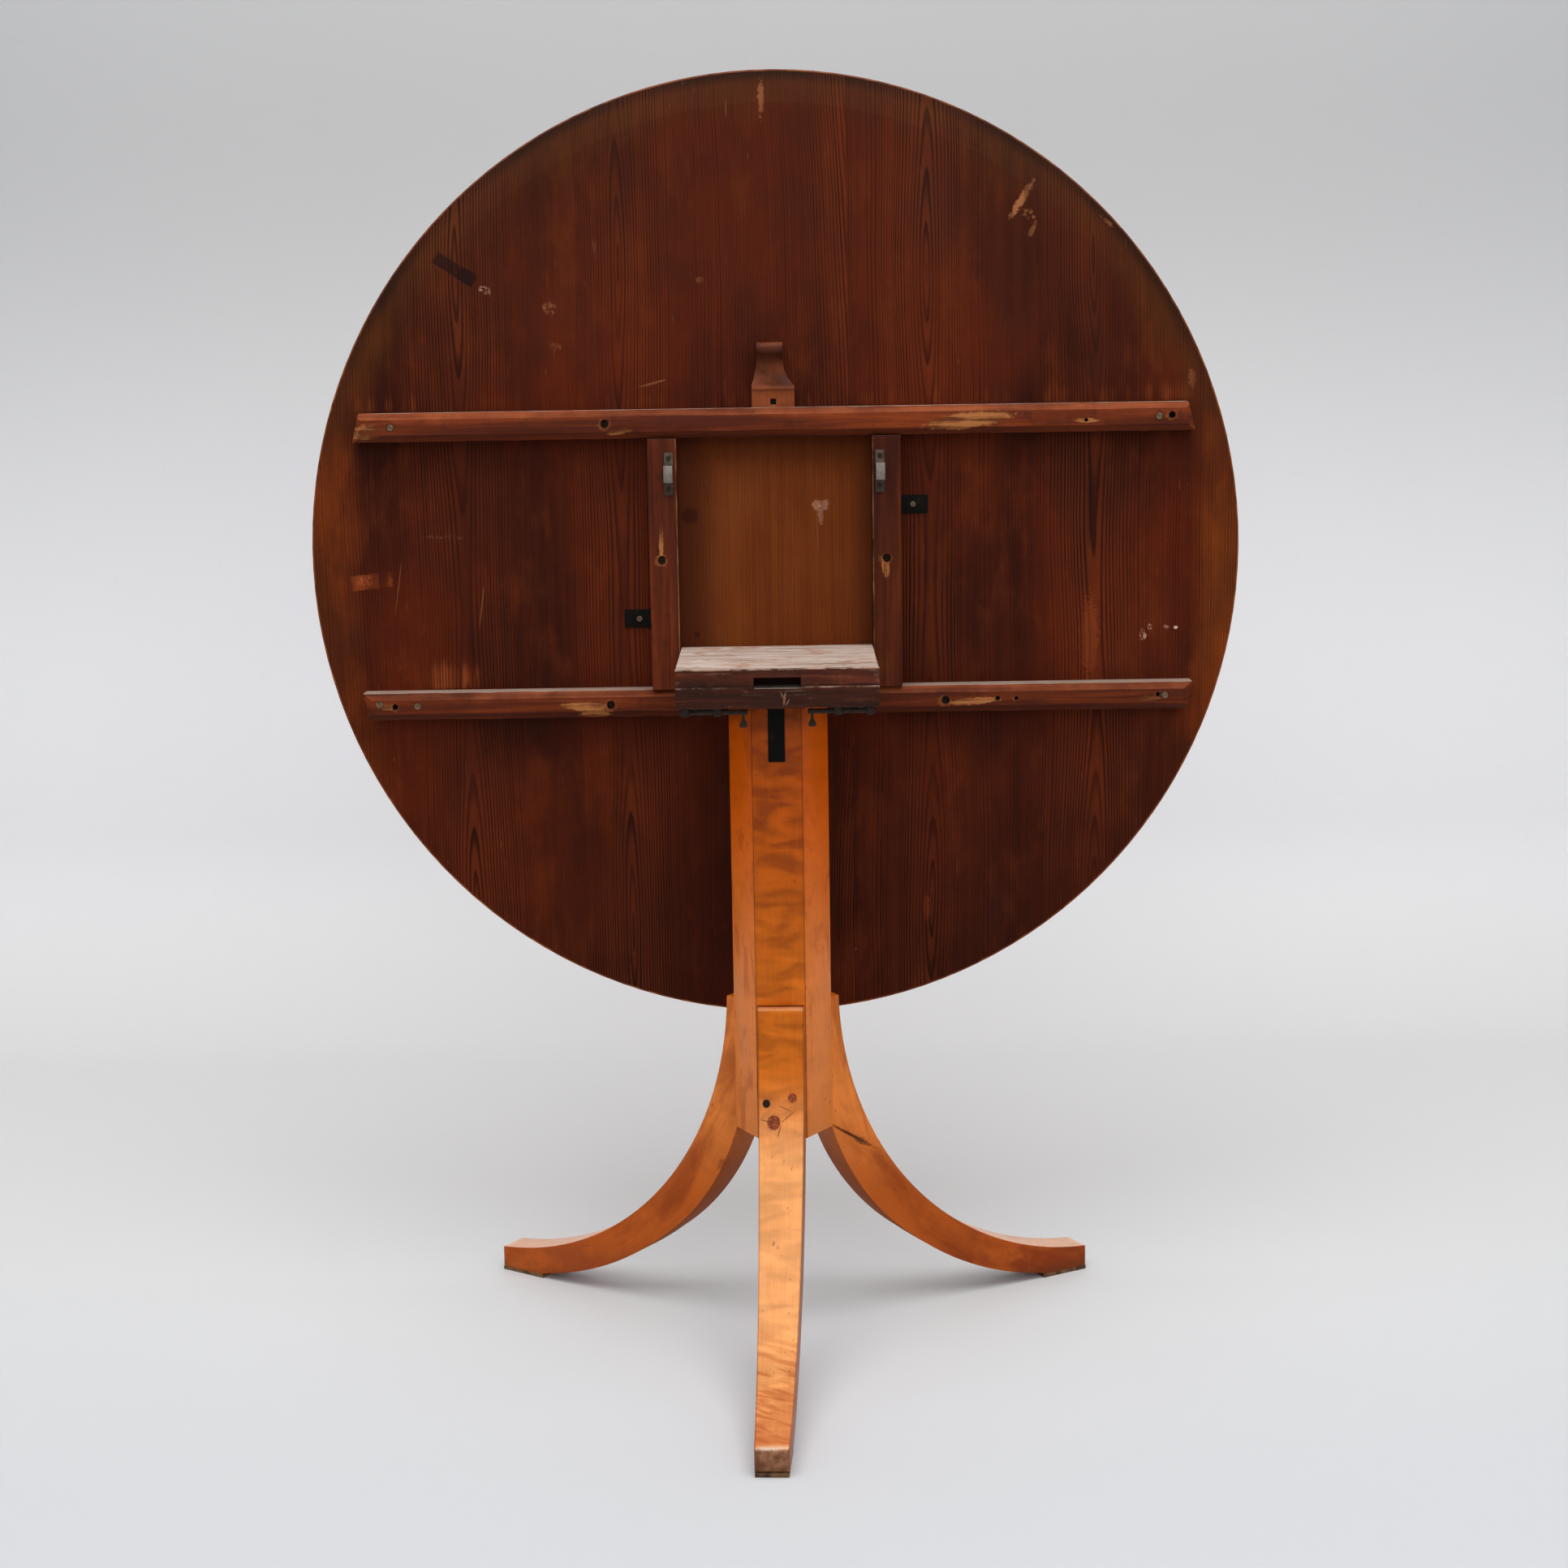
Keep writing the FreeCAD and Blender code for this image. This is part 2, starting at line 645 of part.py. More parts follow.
def make_long_batten(label, low, high, slant_up, holes):
    """Batten across the grain.  `holes` lists side, height, radius and depth."""
    body = new_body(label)
    section = new_sketch(body, "section", "YZ_Plane")
    outline(section, section_with_chamfers(low, high, LONG_FACE))
    half = size("batten_half")
    pad(body, section, half * 2, True)
    cut_high = half - size("batten_slant") if slant_up else half + 0.5
    cut_low = half + 0.5 if slant_up else half - size("batten_slant")
    for name, side in (("left_end", -1), ("right_end", 1)):
        wedge = new_sketch(body, name, "XZ_Plane", -size("top_plane"))
        outline(wedge, [(cut_low * side, low - 1.0), (cut_high * side, high + 1.0),
                        (half * (side * 1.1), high + 1.0), (half * (side * 1.1), low - 1.0)])
        cut(body, wedge, 200.0)
        bevel = new_sketch(body, name + "_bevel", "XY_Plane", low)
        corner = size("end_bevel")
        outline(bevel, [((half - corner - 4.0) * side, LONG_FACE - 1.0), ((half + 1.0) * side, LONG_FACE + corner),
                        ((half + 1.0) * side, LONG_FACE - 1.0)])
        cut(body, bevel, 200.0)
    drill(body, holes, LONG_FACE)
    return body


def drill(body, holes, face):
    for number, (side, height, radius, deep) in enumerate(holes):
        hole = new_sketch(body, "hole%d" % number, "XZ_Plane", -face)
        circle(hole, side, height, radius)
        cut(body, hole, deep * 2)


HEAD_RADIUS, HEAD_DEEP, COUNTERBORE_DEEP = 3.7, 1.8, 14.0
UPPER_SCREWS = ((-404.0, 960.6, 30), (406.5, 960.8, 15))
LOWER_SCREWS = ((-427.0, 667.2, 70), (-386.3, 664.8, 5), (415.0, 664.5, -20))
UPPER_SUNK = ((-178.0, 961.2),)
LOWER_SUNK = ((-179.0, 663.0), (179.9, 662.9))
LEFT_SUNK = ((-120.6, 817.0),)
RIGHT_SUNK = ((118.1, 815.9),)
UPPER_OLD = ((420.2, 961.5, 3.0, 9.0), (329.5, 957.5, 1.6, 8.0))
LOWER_OLD = ((-410.2, 664.3, 2.6, 9.0), (235.6, 663.8, 2.0, 8.0), (255.6, 663.5, 1.8, 8.0), (407.3, 665.5, 2.0, 8.0))


def screw_holes(flush, sunk, old=()):
    holes = [(side, height, HEAD_RADIUS, HEAD_DEEP) for side, height, _ in flush]
    holes += [(side, height, HEAD_RADIUS, COUNTERBORE_DEEP) for side, height in sunk]
    return holes + list(old)


def make_battens():
    upper = make_long_batten("batten_upper", size("upper_bottom"), size("upper_top"), True,
                             screw_holes(UPPER_SCREWS, UPPER_SUNK, UPPER_OLD))
    clear = size("mortise_clear")
    plane = size("top_plane")
    mortise = new_sketch(upper, "mortise", "XY_Plane", size("upper_bottom"))
    half = size("tongue_half") + clear
    rectangle(mortise, -half, plane - size("tongue_front") - clear, half, plane + 1.0)
    cut(upper, mortise, 200.0)
    make_long_batten("batten_lower", size("lower_bottom"), size("lower_top"), False,
                     screw_holes(LOWER_SCREWS, LOWER_SUNK, LOWER_OLD))
    for label, side, sunk in (("batten_left", -1, LEFT_SUNK), ("batten_right", 1, RIGHT_SUNK)):
        body = new_body(label)
        low, high = sorted((size("short_inner") * side, size("short_outer") * side), key=lambda d: d.number)
        plan = new_sketch(body, "plan", "XY_Plane", size("lower_top"))
        rectangle(plan, low, SHORT_FACE, high, plane)
        pad(body, plan, size("upper_bottom") - size("lower_top"))
        drill(body, screw_holes((), sunk), SHORT_FACE)
        pivot = new_sketch(body, "pivot", "YZ_Plane", size("short_outer") * side)
        circle(pivot, PIVOT_Y, PIVOT_Z, size("pivot_radius"))
        cut(body, pivot, 100.0)


def make_batten_screws():
    flush = wood_screw(HEAD_RADIUS - 0.1, 2.2, 46.0)
    sunk = wood_screw(HEAD_RADIUS - 0.1, 2.2, 34.0)
    face, short_face = LONG_FACE.number, SHORT_FACE.number
    solids = [moved(flush, at(x, face + 0.1, z, spin)) for x, z, spin in UPPER_SCREWS + LOWER_SCREWS]
    seat = COUNTERBORE_DEEP - 1.6
    solids += [moved(sunk, at(x, face + seat, z, 25)) for x, z in UPPER_SUNK + LOWER_SUNK]
    solids += [moved(sunk, at(x, short_face + seat, z, 60)) for x, z in LEFT_SUNK + RIGHT_SUNK]
    group("batten_screws", solids)


def make_pivot_pin(label, side):
    body = new_body(label)
    half = (size("short_outer") - size("pivot_inner")) * 0.5
    section = new_sketch(body, "section", "YZ_Plane", (size("pivot_inner") + half) * side)
    circle(section, PIVOT_Y, PIVOT_Z, size("pivot_radius"))
    pad(body, section, half * 2, True)


def make_keeper(label, side):
    """Strap staple whose hoop takes the sliding bolt when the top is down."""
    body = new_body(label)
    metal, hoop = size("keeper_metal"), size("keeper_hoop")
    face, end = SHORT_FACE, size("keeper_half_length")
    proud = SHORT_FACE - size("keeper_proud")
    start = (size("keeper_centre") * side) - size("keeper_half_width")
    strip = new_sketch(body, "strip", "YZ_Plane", start)
    outline(strip, [
        (face, KEEPER_Z - end), (face, KEEPER_Z - hoop + metal), (proud + metal, KEEPER_Z - hoop + metal),
        (proud + metal, KEEPER_Z + hoop - metal), (face, KEEPER_Z + hoop - metal), (face, KEEPER_Z + end),
        (face - metal, KEEPER_Z + end), (face - metal, KEEPER_Z + hoop), (proud, KEEPER_Z + hoop),
        (proud, KEEPER_Z - hoop), (face - metal, KEEPER_Z - hoop), (face - metal, KEEPER_Z - end),
    ])
    pad(body, strip, size("keeper_half_width") * 2)


def make_keeper_screws():
    screw = wood_screw(2.7, 1.5, 16.0, 1.1, 0.6)
    face = (SHORT_FACE - size("keeper_metal")).number - 1.1
    solids = []
    for side in (-1, 1):
        for up, spin in ((16.6, 20 * side), (-16.6, -50 * side)):
            spot = at(size("keeper_centre").number * side, face, KEEPER_Z.number + up, spin)
            solids.append(moved(screw, spot))
    group("keeper_screws", solids)


def make_bracket(label, side, height):
    body = new_body(label)
    metal, half = size("bracket_metal"), size("bracket_half_width")
    plane, wall = size("top_plane"), size("short_outer")
    reach = size("bracket_reach")
    flat_low, flat_high = sorted((wall * side, (wall + reach) * side), key=lambda d: d.number)
    rise_low, rise_high = sorted((wall * side, (wall + metal) * side), key=lambda d: d.number)
    slab(body, "flange", flat_low, flat_high, plane - metal, plane, height - half, height + half)
    slab(body, "rise", rise_low, rise_high, plane - size("bracket_rise"), plane, height - half, height + half)


def make_bracket_screws():
    screw = wood_screw(3.0, 1.6, 14.0, 1.2, 0.7)
    face = (size("top_plane") - size("bracket_metal")).number - 1.2
    across = size("short_outer").number + 14.0
    left = moved(screw, at(-across, face, size("bracket_left_height").number, 35))
    right = moved(screw, at(across, face, size("bracket_right_height").number, -25))
    group("bracket_screws", [left, right])


# ---- wooden catch --------------------------------------------------------

def make_catch():
    body = new_body("catch_bolt")
    plane = size("top_plane") - size("clear_gap")
    front = size("top_plane") - size("tongue_front")
    overhang = front - size("head_overhang")
    lip = size("top_plane") - size("lip_reach")
    low, high = size("head_bottom"), size("head_top")
    nose = size("upper_top") + 1.2
    half = size("tongue_half")
    profile = new_sketch(body, "profile", "YZ_Plane")
    outline(profile, [
        (size("top_plane") - size("tongue_rabbet"), size("tongue_tip")),
        (size("top_plane") - size("tongue_rabbet"), nose),
        (plane, nose),
        (plane, high),
        (lip + 5.0, high, (lip + 1.0, high - 2.0)),
        (lip, high - 7.0, (lip + 1.6, high - 10.6)),
        (lip + 6.0, high - 12.0, (front + 4.0, high - 26.0)),
        (overhang + 1.0, low + 4.0),
        (overhang, low),
        (front, low),
        (front, size("tongue_tip")),
    ])
    pad(body, profile, half * 2, True)
    waist, side_shift = size("lip_half"), size("lip_side")
    for name, side in (("left_flare", -1), ("right_flare", 1)):
        flare = new_sketch(body, name, "XZ_Plane", -size("top_plane"))
        lip_edge = side_shift + waist * side
        outline(flare, [
            (lip_edge, high + 1.0),
            (lip_edge, high - 16.0, (lip_edge + 2.2 * side, high - 30.0)),
            (half * side + 0.6 * side, low + 3.0),
            (half * (side * 1.4), low + 3.0),
            (half * (side * 1.4), high + 1.0),
        ])
        cut(body, flare, 200.0)
    peg = new_sketch(body, "peg_hole", "XZ_Plane", -front)
    rectangle(peg, -size("peg_half"), size("peg_height") - size("peg_half"),
              size("peg_half"), size("peg_height") + size("peg_half"))
    cut(body, peg, 14.0)


def build():
    make_column()
    make_leg("leg_front", FRONT_LEG)
    make_leg("leg_back_right", RIGHT_LEG)
    make_leg("leg_back_left", LEFT_LEG)
    make_foot_pad("foot_pad_front", FRONT_LEG)
    make_foot_pad("foot_pad_back_right", RIGHT_LEG)
    make_foot_pad("foot_pad_back_left", LEFT_LEG)
    make_foot_nails()
    make_leg_plugs()
    make_leg_screws()
    make_block()
    make_strap()
    make_strap_screws()
    for side, word in ((-1, "left"), (1, "right")):
        make_bolt_plate("bolt_plate_" + word, side)
        make_bolt_rod("bolt_rod_" + word, side)
        make_bolt_knob("bolt_knob_" + word, side)
        make_pivot_pin("pivot_pin_" + word, side)
        make_keeper("keeper_" + word, side)
    make_plate_screws()
    make_top()
    make_battens()
    make_batten_screws()
    make_keeper_screws()
    make_bracket("bracket_left", -1, size("bracket_left_height"))
    make_bracket("bracket_right", 1, size("bracket_right_height"))
    make_bracket_screws()
    make_catch()


def export():
    doc.recompute()
    os.makedirs("parts", exist_ok=True)
    for item in doc.Objects:
        if "Invalid" in item.State or "Error" in item.State:
            raise RuntimeError(item.Name + " did not compute")
    for piece in pieces:
        if piece.Shape.isNull() or not piece.Shape.isValid():
            raise RuntimeError(piece.Label + " has no sound shape")
        piece.Shape.exportStep("parts/%s.step" % piece.Label)
        box = piece.Shape.BoundBox
        print("%-20s solids %2d volume %10.0f  x %7.1f %7.1f  y %7.1f %7.1f  z %7.1f %7.1f" % (
            piece.Label, len(piece.Shape.Solids), piece.Shape.Volume,
            box.XMin, box.XMax, box.YMin, box.YMax, box.ZMin, box.ZMax))


build()
export()
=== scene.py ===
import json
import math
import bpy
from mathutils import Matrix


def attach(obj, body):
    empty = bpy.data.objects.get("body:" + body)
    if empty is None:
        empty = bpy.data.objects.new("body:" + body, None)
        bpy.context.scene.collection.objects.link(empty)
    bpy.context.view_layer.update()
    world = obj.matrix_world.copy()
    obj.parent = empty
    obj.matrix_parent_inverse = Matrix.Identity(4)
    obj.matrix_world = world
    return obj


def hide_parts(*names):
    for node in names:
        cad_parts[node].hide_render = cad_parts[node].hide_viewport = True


bl_info = {
    "name": "Tilt top table",
    "version": (1, 0, 0),
    "blender": (4, 5, 0),
    "location": "View3D > Sidebar > Tilt Table",
    "description": "Worn edges, wood and metal finishes and a plain studio for a round tilt top table",
    "category": "Object",
}

import bpy
from bpy.props import FloatProperty, FloatVectorProperty, PointerProperty
from mathutils import Matrix, Vector

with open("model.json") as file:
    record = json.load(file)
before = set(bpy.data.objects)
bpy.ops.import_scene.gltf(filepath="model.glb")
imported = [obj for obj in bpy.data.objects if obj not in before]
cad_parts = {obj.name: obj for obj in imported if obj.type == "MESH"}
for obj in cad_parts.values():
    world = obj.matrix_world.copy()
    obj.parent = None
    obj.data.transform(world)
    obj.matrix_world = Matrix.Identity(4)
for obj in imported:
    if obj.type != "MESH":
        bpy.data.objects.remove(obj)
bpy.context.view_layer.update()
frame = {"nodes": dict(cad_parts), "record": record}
NODES = frame["nodes"]
BODIES = {node: body for body, nodes in frame["record"]["behaviour"]["bodies"].items() for node in nodes}

BASE_TWIST = math.radians(-2.4)
LEG_TURNS = {"leg_front": -90.0, "leg_back_right": 30.0, "leg_back_left": 150.0}
LEG_CURVE = (0.4007, 0.3739)
TOP_CENTRE, TOP_HALF_WIDTH, TOP_HALF_HEIGHT = 0.820, 0.499, 0.5054
RIM_WIDTH = 0.034
BEVEL_SHARE = 1 - RIM_WIDTH / TOP_HALF_WIDTH
COLUMN_SIDE = 0.0511
LEG_HALF_WIDTH, LEG_ROOT, LEG_TAPER = 0.0241, 0.044, 0.0234
GRAIN_RADIUS = 0.33
BATTEN_FACE, SHORT_BATTEN_FACE = 0.094, 0.0945
KEEPER_FACE = 0.084
FLOOR_SIZE, FLOOR_MIDDLE, WALL_HEIGHT, COVE_RADIUS = 24.0, -10.59, 4.5, 0.30
CAMERA_PLACE, CAMERA_LENS, SENSOR = (0.00514, -2.4829, 0.9708), 55.555, 36.0
CAMERA_DIP, CAMERA_ROLL = 0.1526, -0.0156


def paint(red, green, blue):
    """A 0-255 screen colour as the linear colour that a shader takes."""
    def linear(value):
        value /= 255.0
        return value / 12.92 if value <= 0.04045 else ((value + 0.055) / 1.055) ** 2.4
    return (linear(red), linear(green), linear(blue), 1.0)


# ---- properties ------------------------------------------------------------

def colour(name, description, default):
    return FloatVectorProperty(name=name, description=description, subtype="COLOR", size=4,
                               min=0.0, max=1.0, default=default)


def length(name, description, default):
    return FloatProperty(name=name, description=description, default=default, min=0.0,
                         subtype="DISTANCE", unit="LENGTH", precision=4)


class TableSizes(bpy.types.PropertyGroup):
    wood_arris: length("Wood arris", "Radius worn onto the edges of the column, soles and catch", 0.0012)
    leg_arris: length("Leg arris", "Radius worn onto the edges of the legs", 0.0022)
    toe_arris: length("Toe arris", "Radius worn onto the end of each leg", 0.0042)
    block_arris: length("Block arris", "Radius worn onto the edges of the pivot block", 0.0013)
    batten_arris: length("Batten arris", "Radius worn onto the edges of the battens", 0.0016)
    metal_arris: length("Metal arris", "Radius on the edges of the ironwork", 0.0003)
    chip_depth: length("Chip depth", "Deepest chip along the worn edges", 0.0022)
    ring_pitch: length("Ring pitch", "Distance between growth rings in the pine boards", 0.0031)


class TableColours(bpy.types.PropertyGroup):
    stain_dark: colour("Dark stain", "Deepest tone of the stained pine", paint(49, 15, 4))
    stain_mid: colour("Stain", "Common tone of the stained pine", paint(82, 27, 6))
    stain_worn: colour("Worn stain", "Pine where the stain has worn thin", paint(140, 68, 30))
    bare_pine: colour("Bare pine", "Unstained pine behind the block", paint(116, 55, 18))
    batten_red: colour("Batten stain", "Common tone of the stained battens", paint(112, 46, 15))
    birch_dark: colour("Dark birch", "Shaded side of the birch figure", paint(134, 56, 16))
    birch_mid: colour("Birch", "Common tone of the polished birch", paint(176, 88, 32))
    # Birch tones by facet and height carry painted light: lower facets lighter with painted reflection, leg
    # tops lighter with a painted highlight.
    birch_side: colour("Column side", "Upper side facets of the column", paint(200, 84, 3))
    birch_side_low_lit: colour("Lower side", "Lower side facets of the column", paint(218, 124, 56))
    birch_front: colour("Column front", "Upper front facet of the column", paint(160, 69, 7))
    birch_front_low_lit: colour("Lower front", "Lower front facet and the leg under it", paint(190, 98, 22))
    birch_leg_side: colour("Leg side", "Sides of the legs", paint(178, 84, 24))
    birch_leg_top_lit: colour("Leg top", "Upper faces of the legs", paint(228, 154, 92))
    block_stain: colour("Block stain", "Dark stain on the pivot block", paint(84, 38, 22))
    iron: colour("Black iron", "Blackened iron straps and brackets", paint(12, 11, 9))
    steel: colour("Steel", "Tarnished steel of the keepers", paint(78, 66, 55))
    floor: colour("Floor", "Studio floor and backdrop", paint(218, 217, 216))


# ---- shader sums -----------------------------------------------------------

class Flow:
    """A shader value or vector that can be used in Python sums."""

    def __init__(self, finish, socket):
        self.finish = finish
        self.socket = socket

    def maths(self, kind, *values):
        return self.finish.node("ShaderNodeMath", {"operation": kind}, values)

    def __add__(self, other):
        return self.maths("ADD", self, other)

    def __sub__(self, other):
        return self.maths("SUBTRACT", self, other)

    def __rsub__(self, other):
        return self.maths("SUBTRACT", other, self)

    def __mul__(self, other):
        return self.maths("MULTIPLY", self, other)

    def __truediv__(self, other):
        return self.maths("DIVIDE", self, other)

    def __abs__(self):
        return self.maths("ABSOLUTE", self)

    __radd__ = __add__
    __rmul__ = __mul__

    def call(self, kind, *others):
        return self.maths(kind, self, *others)


class Finish:
    """One material, built from nodes around a Principled shader."""

    def __init__(self, name):
        self.material = bpy.data.materials.new(name)
        self.material.use_nodes = True
        self.tree = self.material.node_tree
        self.tree.nodes.clear()
        self.shader = self.tree.nodes.new("ShaderNodeBsdfPrincipled")
        self.output = self.tree.nodes.new("ShaderNodeOutputMaterial")
        self.tree.links.new(self.shader.outputs[0], self.output.inputs[0])
        self.place = self.node("ShaderNodeTexCoord", output="Object")
        self.facing = self.split(self.node("ShaderNodeTexCoord", output="Normal"))
        self.x, self.y, self.z = self.split(self.place)

    def node(self, kind, settings=None, inputs=(), output=0):
        item = self.tree.nodes.new(kind)
        for name, value in (settings or {}).items():
            setattr(item, name, value)
        pairs = inputs.items() if isinstance(inputs, dict) else enumerate(inputs)
        for key, value in pairs:
            if isinstance(value, Flow):
                self.tree.links.new(value.socket, item.inputs[key])
            else:
                item.inputs[key].default_value = value
        return Flow(self, item.outputs[output])

    def split(self, vector):
        parts = self.node("ShaderNodeSeparateXYZ", None, (vector,)).socket.node
        return tuple(Flow(self, parts.outputs[axis]) for axis in "XYZ")

    def join(self, x, y, z):
        return self.node("ShaderNodeCombineXYZ", None, (x, y, z))

    def stretched(self, vector, x, y, z):
        return self.node("ShaderNodeVectorMath", {"operation": "MULTIPLY"}, (vector, (x, y, z)))

    def noise(self, vector, scale=1.0, detail=3.0, roughness=0.55, distortion=0.0):
        return self.node("ShaderNodeTexNoise", None, {
            "Vector": vector, "Scale": scale, "Detail": detail,
            "Roughness": roughness, "Distortion": distortion})

    def grain(self, vector, stretch, detail=3.0, roughness=0.55, distortion=0.0):
        """Noise drawn out by a different amount along each axis."""
        return self.noise(self.stretched(vector, *stretch), 1.0, detail, roughness, distortion)

    def smooth(self, value, low, high):
        return self.node("ShaderNodeMapRange", {"interpolation_type": "SMOOTHSTEP"},
                         {"Value": value, "From Min": low, "From Max": high})

    def mix(self, share, first, second, blend="MIX"):
        return self.node("ShaderNodeMix", {"data_type": "RGBA", "blend_type": blend},
                         {0: share, 6: first, 7: second}, 2)

    def shade(self, tone, amount):
        """Multiply a colour by a grey amount."""
        return self.mix(1.0, tone, self.join(amount, amount, amount), "MULTIPLY")

    def spot(self, across, up, middle, half, turn=0.0, ragged=0.35, soft=0.25, grain=300.0, square=False):
        """Mask, one inside an oval or square mark with a ragged edge and zero outside."""
        cosine, sine = math.cos(math.radians(turn)), math.sin(math.radians(turn))
        right, rise = across - middle[0] * 0.001, up - middle[1] * 0.001
        along = (right * cosine + rise * sine) / (half[0] * 0.001)
        over = (rise * cosine - right * sine) / (half[1] * 0.001)
        if square:
            reach = abs(along).call("MAXIMUM", abs(over))
        else:
            reach = (along * along + over * over).call("SQRT")
        if ragged:
            reach = reach + (self.noise(self.place, grain, 2.0) - 0.5) * (ragged * 2)
        return self.smooth(reach, 1.0 + soft, 1.0 - soft)

    def bump(self, height, depth, strength=1.0):
        return self.node("ShaderNodeBump", None,
                         {"Height": height, "Distance": depth, "Strength": strength})

    def done(self, base, roughness, normal=None, **fixed):
        """Feed the shader and return the material."""
        inputs = {"Base Color": base, "Roughness": roughness, "Normal": normal}
        inputs.update({name.replace("_", " "): value for name, value in fixed.items()})
        for name, value in inputs.items():
            if isinstance(value, Flow):
                self.tree.links.new(value.socket, self.shader.inputs[name])
            elif value is not None:
                self.shader.inputs[name].default_value = value
        return self.material


# ---- finishes --------------------------------------------------------------

def growth_rings(finish, heart, apex, swing, rate, pitch, seed=0.0):
    """Dark late wood lines of a plank cut from a log whose heart runs up at x = heart."""
    wander = finish.grain(finish.place, (3.0, 3.0, 2.2), 2.0) - 0.5
    ripple = finish.grain(finish.place, (60.0, 60.0, 9.0), 2.0) - 0.5
    across = finish.x - heart + wander * 0.022
    deep = ((finish.z - apex) * rate).call("SINE") * swing + wander * 0.01 + 0.001
    radius = (across * across + deep * deep).call("SQRT") + ripple * 0.0016
    uneven = finish.noise(finish.join(radius * 42.0, seed, 0.0), 1.0, 1.0)
    count = radius / pitch + uneven * 3.0
    share = count.call("FRACT")
    line = finish.smooth(share, 0.35, 0.86) * finish.smooth(share, 1.0, 0.9)
    strength = finish.smooth(finish.noise(finish.join(radius * 160.0, seed + 4.0, 0.0), 1.0, 1.0), 0.25, 0.7)
    middle = finish.smooth(abs(across), 0.075, 0.015)
    return line, line * (strength * 0.75 + 0.25), middle


